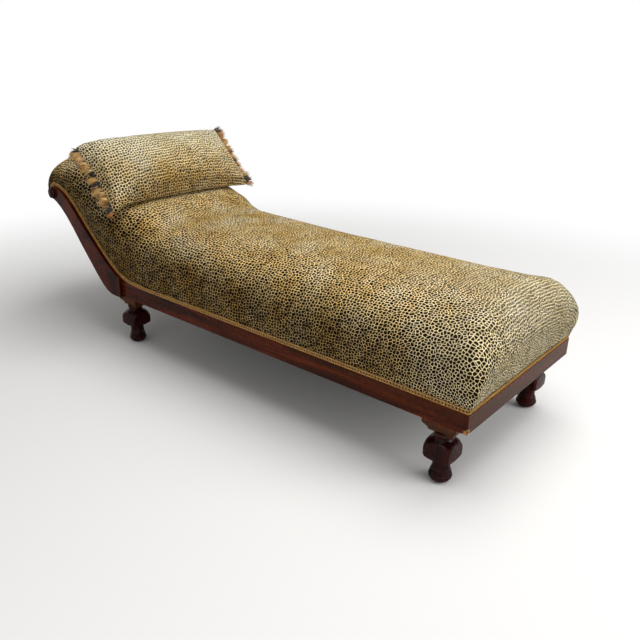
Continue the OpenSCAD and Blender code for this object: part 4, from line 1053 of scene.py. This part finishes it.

# %% [markdown]
# The pillow's fringe is a row of thick tufts of cut yarn, gold and rust with clumps of black. Each
# tuft is 15 tapered strands that fan out from one knot, and the tufts repeat along the end seam, so
# Geometry Nodes make one tuft and set copies about 4 mm apart, each with its own lean and length
# from a fixed seed. Noise along the seam picks gold, rust or black. Attributes keep, for each
# strand, its yarn, how deep it lies, and how far each point is from the root; the last two set its
# painted shade.

# %% Fringe tufts
def fringe_tufts(tree, given):
    # One strand, which bends outward and thins toward its tip.
    along_strand = add(tree, "GeometryNodeSplineParameter", out="Factor")
    tip = add(tree, "ShaderNodeCombineXYZ", {"Y": given["Strand length"]})
    bend = {"Start": (0, 0, 0), "Start Handle": (0, 8 * MM, 3 * MM), "End Handle": (1 * MM, 20 * MM, 3 * MM)}
    strand = add(tree, "GeometryNodeCurvePrimitiveBezierSegment", {**bend, "End": tip, "Resolution": 6})
    root_to_tip = {"Geometry": strand, "Name": "reach", "Value": along_strand}
    strand = add(tree, "GeometryNodeStoreNamedAttribute", root_to_tip)
    thick = add(tree, "ShaderNodeMapRange", {"Value": along_strand, "To Min": 1.0, "To Max": 0.6})
    thick = add(tree, "ShaderNodeMath", {0: thick, 1: given["Strand radius"]}, operation="MULTIPLY")
    ring = add(tree, "GeometryNodeCurvePrimitiveCircle", {"Resolution": 5, "Radius": 1.0})
    skin = {"Curve": strand, "Profile Curve": ring, "Scale": thick, "Fill Caps": True}
    strand = add(tree, "GeometryNodeCurveToMesh", skin)
    # One tuft, in which a random depth paints some strands darker: painted shade inside the tuft.
    spread = {"Min": (-2 * MM, -1 * MM, -2 * MM), "Max": (2 * MM, 1 * MM, 2 * MM), "Seed": 3}
    spread = add(tree, "FunctionNodeRandomValue", spread, **RANDOM_VECTOR)
    knot = add(tree, "GeometryNodePoints", {"Count": given["Strands in a tuft"], "Position": spread})
    dark = add(tree, "FunctionNodeRandomValue", {2: 0.55, 3: 1.15, "Seed": 5}, out=1)
    knot = add(tree, "GeometryNodeStoreNamedAttribute", {"Geometry": knot, "Name": "depth", "Value": dark})
    fan = {"Min": (-0.22, -3.1, -0.22), "Max": (0.22, 3.1, 0.22), "Seed": 6}
    fan = add(tree, "FunctionNodeRandomValue", fan, **RANDOM_VECTOR)
    grow = {"Min": (0.9, 0.75, 0.9), "Max": (1.1, 1.08, 1.1), "Seed": 8}
    grow = add(tree, "FunctionNodeRandomValue", grow, **RANDOM_VECTOR)
    tuft = {"Points": knot, "Instance": strand, "Rotation": fan, "Scale": grow}
    tuft = add(tree, "GeometryNodeInstanceOnPoints", tuft)
    tuft = add(tree, "GeometryNodeRealizeInstances", {"Geometry": tuft})
    # The row of tufts along the seam.
    run = add(tree, "ShaderNodeCombineXYZ", {"X": given["Length"]})
    seam = add(tree, "GeometryNodeCurvePrimitiveLine", {"Start": (0, 0, 0), "End": run})
    spaced = {"Curve": seam, "Length": given["Tuft pitch"]}
    roots = add(tree, "GeometryNodeResampleCurve", spaced, mode="LENGTH")
    seed = {"Seed": given["Seed"]}
    scatter = {"Min": (-2 * MM, -1 * MM, -3 * MM), "Max": (2 * MM, 2 * MM, 5 * MM), **seed}
    scatter = add(tree, "FunctionNodeRandomValue", scatter, **RANDOM_VECTOR)
    roots = add(tree, "GeometryNodeSetPosition", {"Geometry": roots, "Offset": scatter})
    place = add(tree, "GeometryNodeInputPosition")
    clump = {"Vector": place, "Scale": given["Clumps per metre"], "Detail": 1.0}
    clump = add(tree, "ShaderNodeTexNoise", clump)
    mixed = add(tree, "FunctionNodeRandomValue", {2: -0.07, 3: 0.07, **seed}, out=1)
    clump = add(tree, "ShaderNodeMath", {0: clump, 1: mixed}, operation="ADD")
    roots = add(tree, "GeometryNodeStoreNamedAttribute", {"Geometry": roots, "Name": "yarn", "Value": clump})
    lean = {"Min": (-0.35, -3.1, -0.5), "Max": (0.35, 3.1, 0.5), **seed}
    lean = add(tree, "FunctionNodeRandomValue", lean, **RANDOM_VECTOR)
    size = {"Min": (0.8, 0.72, 0.8), "Max": (1.2, 1.05, 1.2), **seed}
    size = add(tree, "FunctionNodeRandomValue", size, **RANDOM_VECTOR)
    row = {"Points": roots, "Instance": tuft, "Rotation": lean, "Scale": size}
    return add(tree, "GeometryNodeInstanceOnPoints", row)


# Cut silk yarn: softly lustrous, gold to rust with black, with painted shade at the root and inside a
# tuft. Real fibres are far too fine to show, so their streaks are drawn 2 mm coarse.
fringe_mat, tree, shader = new_material("cut_silk_fringe", Roughness=0.6, Sheen_Weight=0.1,
                                        Sheen_Roughness=0.4, Sheen_Tint="#f0cf8c")
yarn = add(tree, "ShaderNodeAttribute", attribute_name="yarn", out="Fac")
yarn_tones = [(0.37, "#0d0907"), (0.4, "#1a120c"), (0.42, "#8f5a24"), (0.48, "#c8933f"),
              (0.56, "#e9c684"), (0.66, "#a8682d")]
colour = add(tree, "ShaderNodeValToRGB", {"Fac": yarn}, stops=yarn_tones)
place = add(tree, "ShaderNodeTexCoord", out="Object")
fibre = add(tree, "ShaderNodeTexNoise", {"Vector": place, "Scale": 500.0, "Detail": 2.0})
streaks = {"From Min": 0.3, "From Max": 0.7, "To Min": 0.72, "To Max": 1.12}
light = add(tree, "ShaderNodeMapRange", {"Value": fibre, **streaks})
# Painted shade: strands that lie deeper in a tuft are darker.
depth = add(tree, "ShaderNodeAttribute", attribute_name="depth", out="Fac")
light = add(tree, "ShaderNodeMath", {0: light, 1: depth}, operation="MULTIPLY")
# Painted shade: each strand darkens toward its root.
from_root = add(tree, "ShaderNodeAttribute", attribute_name="reach", out="Fac")
root_shade = {"Value": from_root, "From Max": 0.6, "To Min": 0.3, "To Max": 1.0}
root_shade = add(tree, "ShaderNodeMapRange", root_shade)
light = add(tree, "ShaderNodeMath", {0: light, 1: root_shade}, operation="MULTIPLY")
yarn_colour = add(tree, "ShaderNodeVectorMath", {0: colour, "Scale": light}, operation="SCALE")
finish_material(tree, shader, yarn_colour, fibre, 0.4, 0.3 * MM)
print("fringe tree and finish ready")

# %% [markdown]
# The fringe is sewn into the end seam of the swollen case, so its path is read from the case: the
# outermost point at each of 50 places down the slope, evened out a little. The near fringe hangs and
# sags with its end of the pillow, and the far one lifts a little off the head.

# %% Lay the fringes
SEAM_POINTS, TUFT_PITCH, STRAND_LENGTH, STRAND_RADIUS = 50, 4.2 * MM, 33 * MM, 1.15 * MM
SEWN_IN, LEAN_DOWN, NEAR_HANG, FAR_RISE = 3 * MM, 0.2, -9, 0.25
UPPER_MARGIN, LOWER_MARGIN, BAND = 7 * MM, 4 * MM, 4 * MM


def end_seam(side):
    line = []
    for x in np.linspace(slopes.min() + UPPER_MARGIN, slopes.max() - LOWER_MARGIN, SEAM_POINTS):
        outermost = np.argmax(np.where(np.abs(slopes - x) < BAND, side * local[:, 1], -1))
        line.append((x, local[outermost, 1], resting[outermost]))
    line = np.array(line)
    line[2:-2] = sum(line[k:len(line) - 4 + k] for k in range(5)) / 5
    return line


def lay_fringe(name, side, node, seed):
    line = end_seam(side)
    stations = run_lengths(line)
    length = float(stations[-1])
    sizes = {"Length": length, "Tuft pitch": TUFT_PITCH, "Strands in a tuft": 15,
             "Strand length": STRAND_LENGTH, "Strand radius": STRAND_RADIUS, "Clumps per metre": 42.0,
             "Seed": seed}
    mesh = node_mesh(name, fringe_tufts, sizes, fringe_mat)
    co = points_of(mesh)
    seam = at_lengths(co[:, 0], stations, line)
    out = np.maximum(co[:, 1], 0)
    x = seam[:, 0] + np.minimum(co[:, 0], 0) + np.maximum(co[:, 0] - length, 0) + LEAN_DOWN * out
    y = seam[:, 1] + side * (co[:, 1] - SEWN_IN)
    h = co[:, 2] + seam[:, 2] + (NEAR_HANG * out ** 2 if side < 0 else FAR_RISE * out)
    placed = np.array(CENTRE) + x[:, None] * np.array(down_slope) + h[:, None] * np.array(lift)
    placed[:, 1] += y
    mesh.vertices.foreach_set("co", sagged(placed, seam[:, 1]).ravel())
    facing_out(mesh)
    shade(mesh)
    new_piece(name, mesh, fringe_mat, "pillow", "tasselled_fringe", node)
    print(name, len(mesh.polygons), "faces")


lay_fringe("fringe_tufts_near", -1, "pillow_fringe_near", 7)
lay_fringe("fringe_tufts_far", 1, "pillow_fringe_far", 8)
